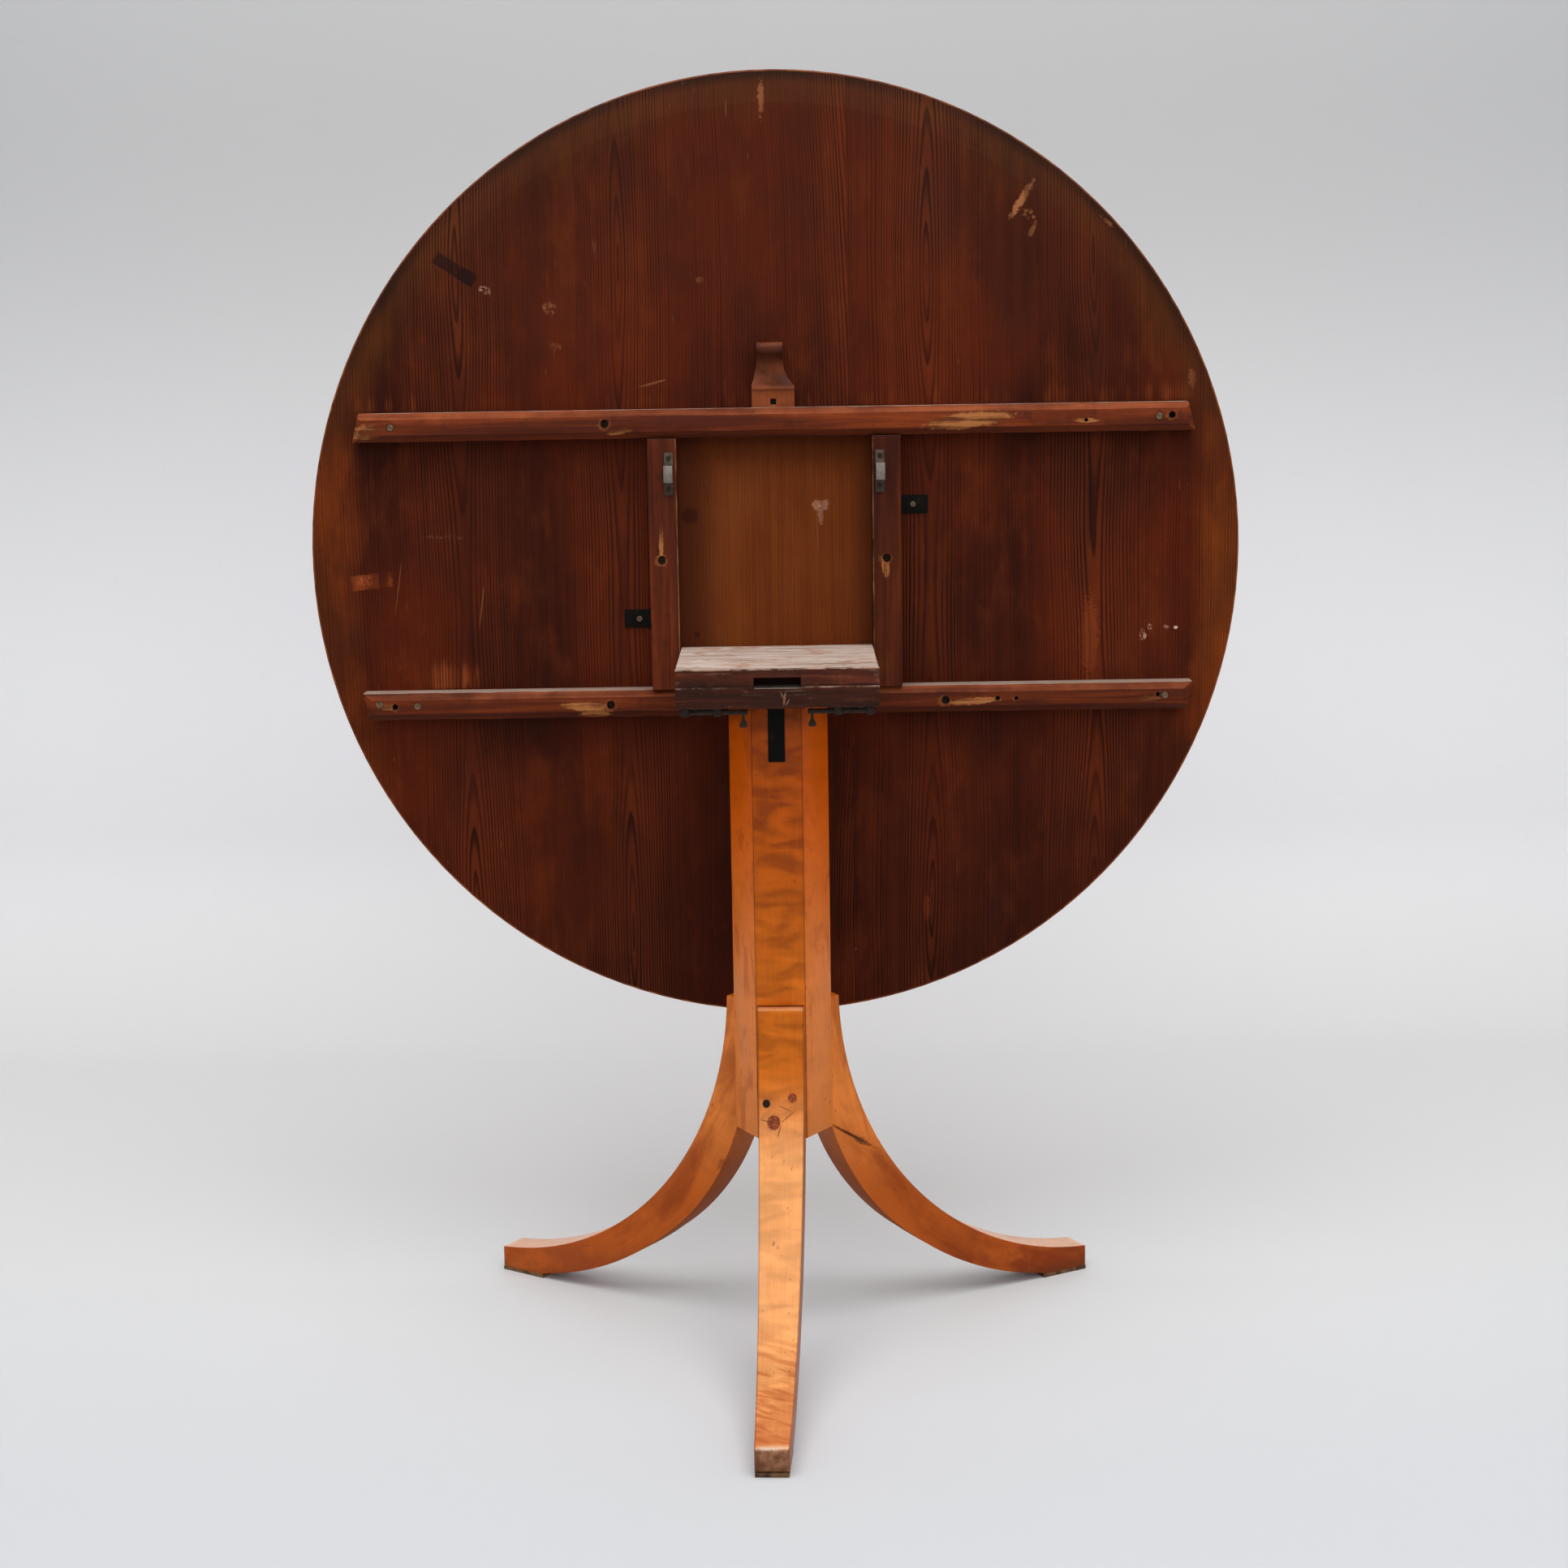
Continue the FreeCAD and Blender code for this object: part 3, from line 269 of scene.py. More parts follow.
def stained_pine(label, colours, sizes, heart, apex, swing=0.016, rate=8.0, marks=()):
    """Old pine underside: red-brown stain, growth rings, worn streaks and scuffs, with painted light on the
    side bevels and painted shade on the top rim and in the recess behind the block.
    """
    f = Finish(label)
    line, rings, middle = growth_rings(f, heart, apex, swing, rate, sizes.ring_pitch, heart * 10)
    fibre = f.grain(f.place, (1300.0, 200.0, 12.0), 2.0)
    streak = f.grain(f.place, (110.0, 60.0, 2.6), 3.0)
    cloud = f.grain(f.place, (5.5, 5.5, 3.0), 4.0, 0.6)
    patch = f.grain(f.place, (22.0, 20.0, 9.0), 4.0, 0.62)

    right, rise = f.x / TOP_HALF_WIDTH, (f.z - TOP_CENTRE) / TOP_HALF_HEIGHT
    reach = (right * right + rise * rise).call("SQRT")
    side = f.smooth(abs(right), 0.80, 0.97)

    tone = f.mix(f.smooth(cloud, 0.34, 0.66), colours.stain_dark, colours.stain_mid)
    tone = f.mix(f.smooth(streak, 0.36, 0.74) * 0.3, tone, colours.stain_mid)
    tone = f.mix(f.smooth(patch, 0.50, 0.74) * 0.42, tone, paint(104, 43, 16))
    tone = f.mix(f.smooth(f.z, 0.62, 0.42) * 0.3, tone, colours.stain_dark)
    tone = f.mix(f.smooth(f.z, 1.0, 1.15) * 0.35, tone, paint(64, 26, 11))

    over_batten = f.smooth(f.z, 0.974, 0.980) * f.smooth(f.z, 1.006, 0.985)
    lower_left = (f.smooth(f.z, 0.676, 0.682) * f.smooth(f.z, 0.725, 0.695)
                  * f.smooth(f.x, -0.395, -0.375) * f.smooth(f.x, -0.31, -0.33))
    near_rim = f.smooth(reach, 0.80, 0.97)
    wear = near_rim * 0.18 + over_batten * 0.4 + lower_left * 0.8
    worn = f.smooth(streak * 0.55 + patch * 0.3 + wear * 0.24, 0.5, 0.72) * wear
    worn_grain = worn * (1.0 - line * 0.65)
    tone = f.mix(worn_grain, tone, colours.stain_worn)

    # Painted light: the bevel ring is lighter at the left and right sides, with a painted highlight just
    # below the middle of the right rim.
    lit_bevel_tone = f.mix(f.smooth(patch, 0.35, 0.65), paint(78, 32, 9), paint(110, 46, 11))
    rim_highlight = f.smooth(f.x, 0.44, 0.47) * f.smooth(abs(f.z - 0.77), 0.14, 0.05)
    lit_bevel_tone = f.mix(rim_highlight * 0.3, lit_bevel_tone, paint(142, 68, 18))
    band = f.smooth(reach + (patch - 0.5) * 0.02, BEVEL_SHARE - 0.014, BEVEL_SHARE + 0.012)
    border = f.smooth(abs(f.x), 0.440, 0.468) * f.smooth(abs(rise), 0.62, 0.3)
    tone = f.mix((band * side).call("MAXIMUM", border * 0.8) * 0.9, tone, lit_bevel_tone)
    # Painted shade: the top of the rim is darker, in a dull greenish brown, darkest along its outer edge.
    top_rim_shade = f.smooth(reach + (patch - 0.5) * 0.12, 0.88, 0.99) * f.smooth(rise, 0.15, 0.45) * 0.5
    tone = f.mix(top_rim_shade, tone, paint(64, 36, 13))
    rim_edge_shade = f.smooth(reach, 0.968, 0.995) * f.smooth(rise, -0.2, 0.4)
    tone = f.mix(rim_edge_shade * (1.0 - side * 0.8) * 0.85, tone, paint(36, 18, 9))
    clarity = f.smooth(f.grain(f.place, (7.0, 7.0, 4.0), 3.0), 0.34, 0.62)
    tone = f.mix((1.0 - line) * middle * (clarity * 0.26 + 0.04), tone, paint(112, 48, 18))
    tone = f.shade(tone, 1.01 - rings * (clarity * 0.36 + middle * 0.22 + 0.16))
    mottle = f.grain(f.place, (30.0, 30.0, 24.0), 5.0, 0.68)
    tone = f.shade(tone, fibre * 0.5 + mottle * 0.5 + 0.48)

    soot = f.smooth(f.grain(f.place, (9.0, 9.0, 6.0), 3.0), 0.55, 0.72)
    tone = f.mix(soot * 0.3, tone, paint(48, 22, 14))

    inside = (f.smooth(abs(f.x), 0.1055, 0.1015) * f.smooth(f.z, 0.672, 0.68)
              * f.smooth(f.z, 0.95, 0.944))
    bare = f.mix(f.smooth(streak, 0.2, 0.8) * 0.6 + 0.2, paint(92, 40, 13), colours.bare_pine)
    bare = f.mix(f.smooth(cloud, 0.42, 0.66) * 0.55, bare, paint(128, 68, 30))
    bare = f.shade(bare, (1.0 - line * 0.16) * (fibre * 0.5 + mottle * 0.3 + 0.54))
    # Painted shade in the recess behind the block: darker towards the battens at its sides and top, and over
    # its left part.
    darkening_mask = f.smooth(abs(f.x), 0.070, 0.104) * 0.62
    darkening_mask = darkening_mask.call("MAXIMUM", f.smooth(f.z, 0.895, 0.945) * 0.55)
    darkening_mask = darkening_mask.call("MAXIMUM", f.smooth(f.x, -0.045, -0.09) * 0.8)
    bare = f.mix(darkening_mask, bare, paint(66, 28, 14))
    tone = f.mix(inside, tone, bare)

    fleck = f.grain(f.place, (420.0, 300.0, 260.0), 2.0, 0.6)
    for centre, half, turn, ragged, strength, mark in marks:
        square = ragged < 0.2
        thin = ragged > 0.5 or square and strength < 0.7
        flaky = f.smooth(patch * 0.5 + streak * 0.5, 0.36, 0.6) if thin else 1.0
        if ragged > 0.9:
            flaky = flaky * f.smooth(fleck, 0.47, 0.56) * 1.6
        spot = f.spot(f.x, f.z, centre, half, turn, ragged, 0.1 if square else 0.25,
                      150.0 if ragged > 0.9 else 300.0, square)
        tone = f.mix(spot * strength * flaky, tone, mark)

    scratch = f.grain(f.place, (500.0, 300.0, 24.0), 1.0, 0.5, 0.6)
    nick = f.smooth(scratch, 0.765, 0.80) * f.smooth(cloud, 0.42, 0.6)
    tone = f.mix(nick * 0.35, tone, paint(168, 104, 70))

    height = fibre * 0.35 + (1.0 - rings) * 0.6 + patch * 0.4 - nick
    rough = 0.52 + patch * 0.22 - rings * 0.05 + inside * 0.2
    return f.done(tone, rough, f.bump(height, 0.0005, 0.7), Specular_IOR_Level=0.06)


def batten_wood(label, colours, along, face, holes=(), bare=(), chamfer=True, depth=1.0):
    """Stained batten with its grain along it, worn arrises, a painted highlight on the chamfer, painted shade
    underneath and in the screw holes, dust and raw splits.
    """
    f = Finish(label)
    scale = (9.0, 260.0, 260.0) if along == "x" else (260.0, 260.0, 9.0)
    run = (4.0, 60.0, 90.0) if along == "x" else (90.0, 60.0, 4.0)
    fibre = f.grain(f.place, scale, 3.0, 0.6)
    streak = f.grain(f.place, run, 3.0, 0.6, 0.3)
    patch = f.grain(f.place, (26.0, 26.0, 26.0), 4.0, 0.62)
    tone = f.mix(f.smooth(streak, 0.32, 0.7), paint(72, 28, 13), colours.batten_red)
    tone = f.mix(f.smooth(streak * 0.6 + patch * 0.4, 0.52, 0.72) * 0.5, tone, paint(142, 68, 30))
    tone = f.shade(tone, fibre * (0.5 * depth) + 0.74 * depth)
    lines = f.smooth(fibre, 0.60, 0.70)
    tone = f.mix(lines * 0.45, tone, paint(50, 20, 11))
    darkening_mask = f.smooth(f.grain(f.place, (60.0, 60.0, 60.0), 4.0, 0.7), 0.54, 0.68)
    tone = f.mix(darkening_mask * 0.4, tone, paint(54, 22, 12))

    level = f.facing[2]
    front = f.facing[1]
    if chamfer:
        # Painted highlight on the chamfer that faces up to the light, strongest where the stain is worn.
        slope = f.smooth(level, 0.25, 0.62) * f.smooth(front, -0.25, -0.6)
        rubbed_and_lit = f.smooth(streak * 0.4 + patch * 0.6, 0.36, 0.66)
        tone = f.mix(slope * (rubbed_and_lit * 0.45 + 0.06), tone, paint(150, 80, 46))
        # Painted shade on the faces turned downwards.
        lower = f.smooth(level, -0.2, -0.6)
        tone = f.mix(lower * 0.45, tone, paint(58, 26, 18))
    dusty = f.smooth(level, 0.8, 0.97)
    tone = f.mix(dusty * (0.5 + patch * 0.5), tone, paint(172, 148, 132))

    if along == "z":
        inner = f.smooth(abs(f.x), 0.1050, 0.1038) * f.smooth(f.y, 0.0985, 0.0965)
        tone = f.mix(inner * f.smooth(patch, 0.36, 0.58) * 0.6, tone, paint(160, 116, 78))
    for middle, half, turn in bare:
        mask = f.spot(f.x, f.z, middle, half, turn, 0.5, 0.16, 170.0)
        raw = f.mix(f.smooth(fibre * 0.6 + patch * 0.4, 0.42, 0.56), paint(86, 42, 18), paint(158, 100, 54))
        tone = f.mix(mask * f.smooth(patch * 0.6 + fibre * 0.4, 0.33, 0.43) * 0.92, tone, raw)
    # Painted shade inside each screw hole and in a dark disc around its opening.
    deep = f.smooth(f.y, face + 0.0009, face + 0.0028)
    for across, up, radius in holes:
        tone = f.mix(f.spot(f.x, f.z, (across, up), (radius, radius), 0, 0, 0.12) * deep, tone,
                     paint(22, 11, 8))
        ring = f.spot(f.x, f.z, (across - radius * 0.3, up - radius * 0.3),
                      (radius * 1.8, radius * 1.5), 0, 0.7, 0.3)
        tone = f.mix(ring * (1.0 - deep) * 0.45, tone, paint(138, 78, 42))
        hole_mouth_shade = f.spot(f.x, f.z, (across, up), (radius * 1.22, radius * 1.3), 0, 0.35, 0.12)
        tone = f.mix(hole_mouth_shade * 0.85, tone, paint(26, 12, 8))
    height = fibre * 0.6 + patch * 0.4
    return f.done(tone, 0.5 + patch * 0.2 + dusty * 0.3, f.bump(height, 0.0007, 0.8),
                  Specular_IOR_Level=0.08)


def polished_birch(label, colours, turn=None, aged=0.0):
    """Shellac polished figured birch; a leg's grain follows its own curve. Tones by facing and height carry
    painted light and shade.
    """
    f = Finish(label)
    if turn is None:
        along, across, outward = f.z, f.x, f.y
    else:
        angle = math.radians(turn) + BASE_TWIST
        cosine, sine = math.cos(angle), math.sin(angle)
        out = f.x * cosine + f.y * sine - LEG_CURVE[0]
        drop = f.z - LEG_CURVE[1]
        across = f.y * cosine - f.x * sine
        bend = (-1.0 * drop).call("ARCTAN2", -1.0 * out)
        along = bend * -GRAIN_RADIUS
        outward = (out * out + drop * drop).call("SQRT")
    way = f.join(across, outward, along)
    flame = f.grain(way, (17.0, 17.0, 44.0), 1.4, 0.5, 1.1)
    curl = f.grain(way, (30.0, 30.0, 100.0), 2.0, 0.5, 1.0)
    soft = f.grain(way, (9.0, 9.0, 5.0), 3.0)
    fibre = f.grain(way, (700.0, 700.0, 22.0), 2.0)
    stain = f.grain(way, (16.0, 16.0, 11.0), 4.0, 0.65)
    # Painted light: tones change with facing and height, lighter low down with painted reflection and on the
    # legs' upward faces with a painted highlight; the front tones also carry the figure.
    side = f.mix(f.smooth(f.z, 0.30, 0.62), colours.birch_side_low_lit, colours.birch_side)
    front = f.mix(f.smooth(f.z, 0.30, 0.62), colours.birch_front_low_lit, colours.birch_front)
    if turn is not None:
        side = f.mix(f.smooth(f.z, 0.26, 0.12), side, colours.birch_leg_side)
        front = f.mix(f.smooth(f.z, 0.30, 0.20), front, colours.birch_leg_top_lit)
    look = f.smooth(f.facing[2], 0.3, 0.7)
    if turn is None or turn < 0:
        look = look.call("MAXIMUM", f.smooth(f.facing[1], -0.55, -0.85))
    tone = f.mix(look, side, front)
    figure = f.smooth(flame, 0.28, 0.72) * 0.78 + f.smooth(curl, 0.28, 0.72) * 0.22
    depth = look * (f.smooth(f.z, 0.22, 0.40) * 0.22 + 0.24) + 0.14
    tone = f.shade(tone, (figure - 0.5) * depth + 1.0)
    high = f.smooth(f.z, 0.36, 0.6) * 0.42 + f.smooth(f.z, 0.2, 0.32) * 0.16
    tone = f.mix(f.smooth(figure, 0.45, 0.12) * look * high, tone, colours.birch_dark)
    tone = f.mix(f.smooth(soft, 0.45, 0.75) * 0.3, tone, f.shade(tone, 0.8))
    smear = f.grain(way, (40.0, 40.0, 14.0), 4.0, 0.6, 0.8)
    tone = f.mix(f.smooth(smear, 0.52, 0.68) * (1.0 - look * 0.7) * 0.42, tone, paint(150, 60, 12))
    # Painted shade on the faces turned downwards.
    under = f.smooth(f.facing[2], -0.15, -0.6)
    tone = f.mix(under * 0.7, tone, paint(116, 58, 28))
    tone = f.shade(tone, fibre * 0.3 + 0.85)
    blot = f.smooth(stain, 0.62, 0.72)
    tone = f.mix(blot * (0.4 + aged * 0.3), tone, paint(104, 40, 14))
    if turn is None:
        shifted = f.x * math.cos(BASE_TWIST) + f.y * math.sin(BASE_TWIST)
        arris = abs(abs(shifted) - COLUMN_SIDE / 2)
        tone = f.mix(f.smooth(arris, 0.0009, 0.0003) * (0.25 + smear * 0.7), tone, paint(92, 38, 12))
        # Blotchy darker band at the top of the column, right under the block.
        blotches_under_block = f.smooth(f.z, 0.645, 0.676) * f.smooth(stain, 0.36, 0.54)
        tone = f.mix(blotches_under_block * 0.8, tone, paint(84, 28, 8))
        # Painted contact shade where the front leg's top meets the column.
        leg_joint_shade = (f.smooth(abs(f.z - 0.3634), 0.0014, 0.0005)
                * f.smooth(abs(shifted), 0.0248, 0.0240))
        tone = f.mix(leg_joint_shade * look * 0.8, tone, paint(70, 26, 10))
    else:
        # Darker aged patches kept to the faces turned from the light: aged finish and painted shade.
        age = f.grain(way, (10.0, 20.0, 7.0), 4.0, 0.62, 0.4)
        gloom = f.smooth(age, 0.42, 0.66) * (1.0 - look) * (0.6 if turn > 0 else 0.3)
        tone = f.mix(gloom, tone, paint(120, 46, 10))
        slant = f.join(across, outward, along + across * 0.4)
        ripple = f.grain(slant, (22.0, 22.0, 105.0), 2.0, 0.5, 0.8)
        rippled = f.smooth(ripple, 0.46, 0.64) * look * f.smooth(out, -0.22, -0.12)
        tone = f.mix(rippled * 0.6, tone, paint(168, 76, 34))
        warm = f.smooth(out, -0.13, -0.04) * look
        tone = f.mix(warm * 0.28, tone, paint(204, 104, 56))
        toe = f.smooth(f.z, 0.085, 0.03)
        toe_tone = paint(176, 84, 40) if turn < 0 else paint(118, 44, 13) if turn < 90 else paint(146, 66, 26)
        tone = f.mix(toe * (1.0 - look * 0.45) * f.smooth(stain, 0.38, 0.54) * 0.75, tone, toe_tone)
        ends = f.facing[0] * cosine + f.facing[1] * sine
        tip = f.smooth(ends, 0.45, 0.72) * f.smooth(f.z, 0.05, 0.046)
        near_end = f.smooth(out, -0.034, -0.0255)
        lip = (near_end * f.smooth(ends, 0.25, 0.45) * f.smooth(ends, 0.9, 0.7)
               * f.smooth(f.facing[2], 0.15, 0.35))
        grain = f.grain(f.place, (120.0, 120.0, 120.0), 4.0, 0.62)
        cut = f.mix(f.smooth(grain, 0.3, 0.7), paint(102, 64, 42), paint(154, 106, 76))
        tone = f.mix(tip, tone, cut)
        tone = f.mix(lip * f.smooth(stain, 0.34, 0.5) * 0.75, tone, paint(206, 182, 164))
        rub = near_end * (1.0 - tip) * f.smooth(f.facing[2], 0.1, 0.5)
        tone = f.mix(rub * f.smooth(smear, 0.36, 0.56) * 0.75, tone, paint(226, 190, 158))
        # Painted highlight on the upward faces of the back feet.
        bright = f.smooth(f.facing[2], 0.6, 0.9) * f.smooth(f.z, 0.10, 0.055) * (0.65 if turn > 0 else 0.0)
        tone = f.mix(bright, tone, paint(232, 190, 164))
        # Darker blotches towards the floor.
        darker_near_floor = f.smooth(f.z, 0.02, 0.007) * f.smooth(stain, 0.3, 0.6)
        tone = f.mix(darker_near_floor * 0.5, tone, paint(84, 46, 26))
    if turn is not None and turn < 0:
        half_width = LEG_HALF_WIDTH - (out + LEG_CURVE[0] - LEG_ROOT) * LEG_TAPER
        # Painted highlight along the worn top edge of the front leg.
        crown_highlight = f.smooth(f.z, 0.3600, 0.3615) * smear
        tone = f.mix(crown_highlight, tone, paint(226, 160, 112))
        rim = f.smooth(abs(across) - half_width, -0.0016, -0.0004)
        tone = f.mix(rim * (0.2 + smear * 0.6), tone, paint(110, 46, 16))
        for middle, half, slant in (((-13, 249.5), (8, 0.55), -14), ((7, 254), (8, 0.5), 38),
                                    ((4, 262), (7, 0.45), -24), ((-2, 240), (6, 0.5), 70)):
            tone = f.mix(f.spot(across, f.z, middle, half, slant, 0.5, 0.5) * 0.75, tone, paint(76, 28, 12))
    if label.endswith("back_right"):
        crack = f.spot(f.x, f.z, (72.0, 207.0), (27.0, 1.5), -36.0, 0.5, 0.6)
        crack = crack.call("MAXIMUM", f.spot(f.x, f.z, (82.0, 199.0), (9.0, 3.2), -36.0, 0.8, 0.5) * 0.8)
        crack = crack.call("MAXIMUM", f.spot(f.x, f.z, (134.0, 168.0), (5.0, 2.0), -35.0, 0.7, 0.5) * 0.7)
        tone = f.mix(crack * 0.9, tone, paint(44, 20, 10))
    speck = f.smooth(f.grain(way, (240.0, 240.0, 150.0), 1.0), 0.735, 0.775)
    tone = f.mix(speck * 0.5, tone, paint(74, 34, 16))
    height = flame * 0.3 + fibre * 0.25 + soft
    return f.done(tone, 0.27 + stain * 0.16 + under * 0.4, f.bump(height, 0.0007, 0.35),
                  Coat_Weight=0.04, Coat_Roughness=0.2, Specular_IOR_Level=0.07)


def pivot_block_wood(colours):
    """Dark stained block whose top is worn to pale dusty fibres, with painted shade underneath and inside the
    slot.
    """
    f = Finish("pivot_block_wood")
    fibre = f.grain(f.place, (14.0, 260.0, 260.0), 3.0, 0.65)
    grain = f.grain(f.place, (7.0, 90.0, 90.0), 4.0, 0.65, 0.5)
    patch = f.noise(f.place, 34.0, 4.0, 0.65)
    tone = f.mix(f.smooth(grain, 0.3, 0.7), paint(50, 25, 16), colours.block_stain)
    tone = f.mix(f.smooth(grain, 0.55, 0.72) * 0.5, tone, paint(112, 58, 38))
    tone = f.shade(tone, fibre * 0.4 + 0.78)
    # Painted shade on the faces turned downwards.
    below = f.smooth(f.facing[2], -0.1, -0.35)
    tone = f.mix(below * 0.55, tone, paint(40, 24, 17))
    scuff = f.smooth(patch * 0.5 + fibre * 0.5, 0.56, 0.63) * f.smooth(f.facing[1], -0.3, -0.7)
    tone = f.mix(scuff * 0.18, tone, paint(150, 120, 100))
    for middle, half, slant in (((7.0, 691.0), (1.0, 7.0), -8.0), ((10.0, 687.0), (0.7, 4.0), -30.0),
                                ((4.5, 695.0), (0.6, 3.5), 24.0)):
        tone = f.mix(f.spot(f.x, f.z, middle, half, slant, 0.7, 0.4, 260.0) * 0.6, tone, paint(158, 110, 84))
    front = f.smooth(f.y, -0.1135, -0.1150)
    chips = f.smooth(patch * 0.6 + fibre * 0.4, 0.44, 0.56)
    arris = f.smooth(f.z, 0.7192, 0.7212) * front
    tone = f.mix(arris * chips * 0.85, tone, paint(196, 158, 134))
    ridge = f.smooth(abs(f.z - 0.7026), 0.0013, 0.0004) * front
    pale_run = f.smooth(f.x, 0.02, 0.05).call("MAXIMUM", f.smooth(f.x, -0.03, -0.06) * 0.5)
    tone = f.mix(ridge * pale_run * chips * 0.8, tone, paint(176, 140, 118))
    tone = f.mix(f.smooth(abs(f.z - 0.7046), 0.0011, 0.0003) * front * 0.6, tone, paint(24, 13, 9))
    top = f.smooth(f.facing[2], 0.7, 0.95)
    worn = f.mix(f.smooth(grain, 0.3, 0.66), paint(140, 112, 96), paint(196, 180, 168))
    worn = f.mix(f.smooth(grain * 0.5 + patch * 0.5, 0.52, 0.62) * 0.75, worn, paint(168, 110, 66))
    worn = f.mix(f.smooth(patch, 0.6, 0.72) * 0.6, worn, paint(96, 64, 50))
    worn = f.shade(worn, fibre * 0.35 + 0.8)
    tone = f.mix(top, tone, worn)
    # Painted shade inside the slot in the front face.
    slot = (f.smooth(abs(f.x), 0.0236, 0.0230) * f.smooth(f.y, -0.1155, -0.113)
            * f.smooth(f.z, 0.7012, 0.7022) * f.smooth(f.z, 0.7132, 0.7122) * f.smooth(f.y, -0.07, -0.09))
    tone = f.mix(slot * 0.85, tone, paint(16, 9, 7))
    height = fibre * 0.5 + grain * 0.4
    return f.done(tone, 0.5 + top * 0.35 + patch * 0.1, f.bump(height, 0.0009, 0.9),
                  Specular_IOR_Level=0.08)


def foot_wood():
    """Bare worn sole of a foot, in dark and lighter patches."""
    f = Finish("foot_wood")
    fibre = f.grain(f.place, (190.0, 190.0, 900.0), 3.0)
    patch = f.noise(f.place, 90.0, 3.0, 0.6)
    tone = f.mix(f.smooth(patch, 0.35, 0.65), paint(58, 40, 26), paint(122, 88, 54))
    tone = f.shade(tone, fibre * 0.6 + 0.7)
    return f.done(tone, 0.75, f.bump(fibre + patch, 0.0006), Specular_IOR_Level=0.25)


def plug_wood():
    """End grain of the repair plugs; one sits hollow, its face painted near-black as the shade in that
    hollow.
    """
    f = Finish("plug_wood")
    rings = f.noise(f.place, 420.0, 2.0)
    tone = f.mix(f.smooth(rings, 0.35, 0.65), paint(104, 42, 20), paint(156, 76, 40))
    crack = f.smooth(abs(f.noise(f.place, 260.0, 1.0) - 0.5), 0.02, 0.005)
    tone = f.mix(crack * 0.7, tone, paint(50, 20, 12))
    # Painted shade: the hollow plug is painted near-black.
    dark = f.smooth(f.x, -0.0125, -0.0145) * f.smooth(f.z, 0.262, 0.2635)
    tone = f.mix(dark, tone, paint(30, 14, 9))
    return f.done(tone, 0.4, f.bump(rings, 0.0004), Specular_IOR_Level=0.1)


def birch_veneer(label, colours, band=False):
    """Show face: four matched leaves of flame birch under shellac."""
    f = Finish(label)
    if band:
        turn = (f.z - TOP_CENTRE).call("ARCTAN2", f.x) * 0.5
        way = f.join(turn, f.y, 0.0)
        flame = f.grain(way, (60.0, 9.0, 1.0), 3.0, 0.55, 0.6)
        fibre = f.grain(way, (14.0, 1200.0, 1.0), 2.0)
    else:
        across, rise = abs(f.x), abs(f.z - TOP_CENTRE)
        way = f.join(across, 0.0, rise + across * 0.45)
        broad = f.grain(way, (9.0, 1.0, 26.0), 2.0, 0.5, 1.1)
        curl = f.grain(way, (22.0, 1.0, 88.0), 2.5, 0.55, 1.0)
        flame = broad * 0.6 + curl * 0.4
        fibre = f.grain(way, (900.0, 1.0, 14.0), 2.0)
    cloud = f.grain(f.place, (4.0, 4.0, 3.0), 3.0)
    tone = f.mix(f.smooth(flame, 0.34, 0.60), colours.birch_dark, colours.birch_mid)
    tone = f.mix(f.smooth(flame, 0.52, 0.68) * 0.6, tone, paint(206, 118, 46))
    tone = f.mix(f.smooth(cloud, 0.35, 0.7) * 0.4, tone, paint(158, 74, 20))
    tone = f.shade(tone, fibre * 0.24 + 0.88)
    if band:
        tone = f.shade(tone, f.smooth(cloud, 0.2, 0.8) * 0.2 + 0.35)
    else:
        seam = f.smooth(abs(f.x).call("MINIMUM", abs(f.z - TOP_CENTRE)), 0.0006, 0.0002)
        tone = f.mix(seam * 0.6, tone, paint(70, 34, 14))
    return f.done(tone, 0.26 + cloud * 0.12, f.bump(flame * 0.3 + fibre * 0.3, 0.0004, 0.3),
                  Coat_Weight=0.08, Coat_Roughness=0.15, Specular_IOR_Level=0.15)


def old_steel(label, tone_of, dull=0.0, rubbed_and_lit=None):
    """Tarnished steel with darker pits; what stands proud of the given face level is lighter: worn steel with
    a painted highlight.
    """
    f = Finish(label)
    cloud = f.noise(f.place, 180.0, 3.0, 0.6)
    pits = f.noise(f.place, 900.0, 2.0)
    tone = f.mix(f.smooth(cloud, 0.32, 0.7), f.shade(tone_of, cloud * 0.3 + 0.3), tone_of)
    tone = f.mix(f.smooth(pits, 0.56, 0.7) * 0.5, tone, paint(58, 40, 30))
    if rubbed_and_lit:
        # Painted highlight with wear on the steel that stands proud of the face.
        proud = f.smooth(f.y, rubbed_and_lit + 0.004, rubbed_and_lit - 0.004)
        tone = f.mix(proud * (cloud * 0.6 + 0.3), tone, paint(136, 128, 120))
    return f.done(tone, 0.38 + dull + cloud * 0.25, f.bump(cloud + pits * 0.5, 0.0002, 0.5),
                  Metallic=0.75 - dull)


def black_iron(colours):
    """Blackened iron, almost without shine, with patches of brown rust."""
    f = Finish("blackened_iron")
    cloud = f.noise(f.place, 120.0, 4.0, 0.65)
    tone = f.mix(f.smooth(cloud, 0.5, 0.72) * 0.5, colours.iron, paint(40, 25, 17))
    return f.done(tone, 0.55 + cloud * 0.2, f.bump(cloud, 0.0004, 0.6), Metallic=0.0,
                  Specular_IOR_Level=0.06)


# ---- modelling steps -------------------------------------------------------

def clear_selection():
    if bpy.context.object and bpy.context.object.mode != "OBJECT":
        bpy.ops.object.mode_set(mode="OBJECT")
    bpy.ops.object.select_all(action="DESELECT")


def pick(piece):
    clear_selection()
    bpy.context.view_layer.objects.active = piece
    piece.select_set(True)


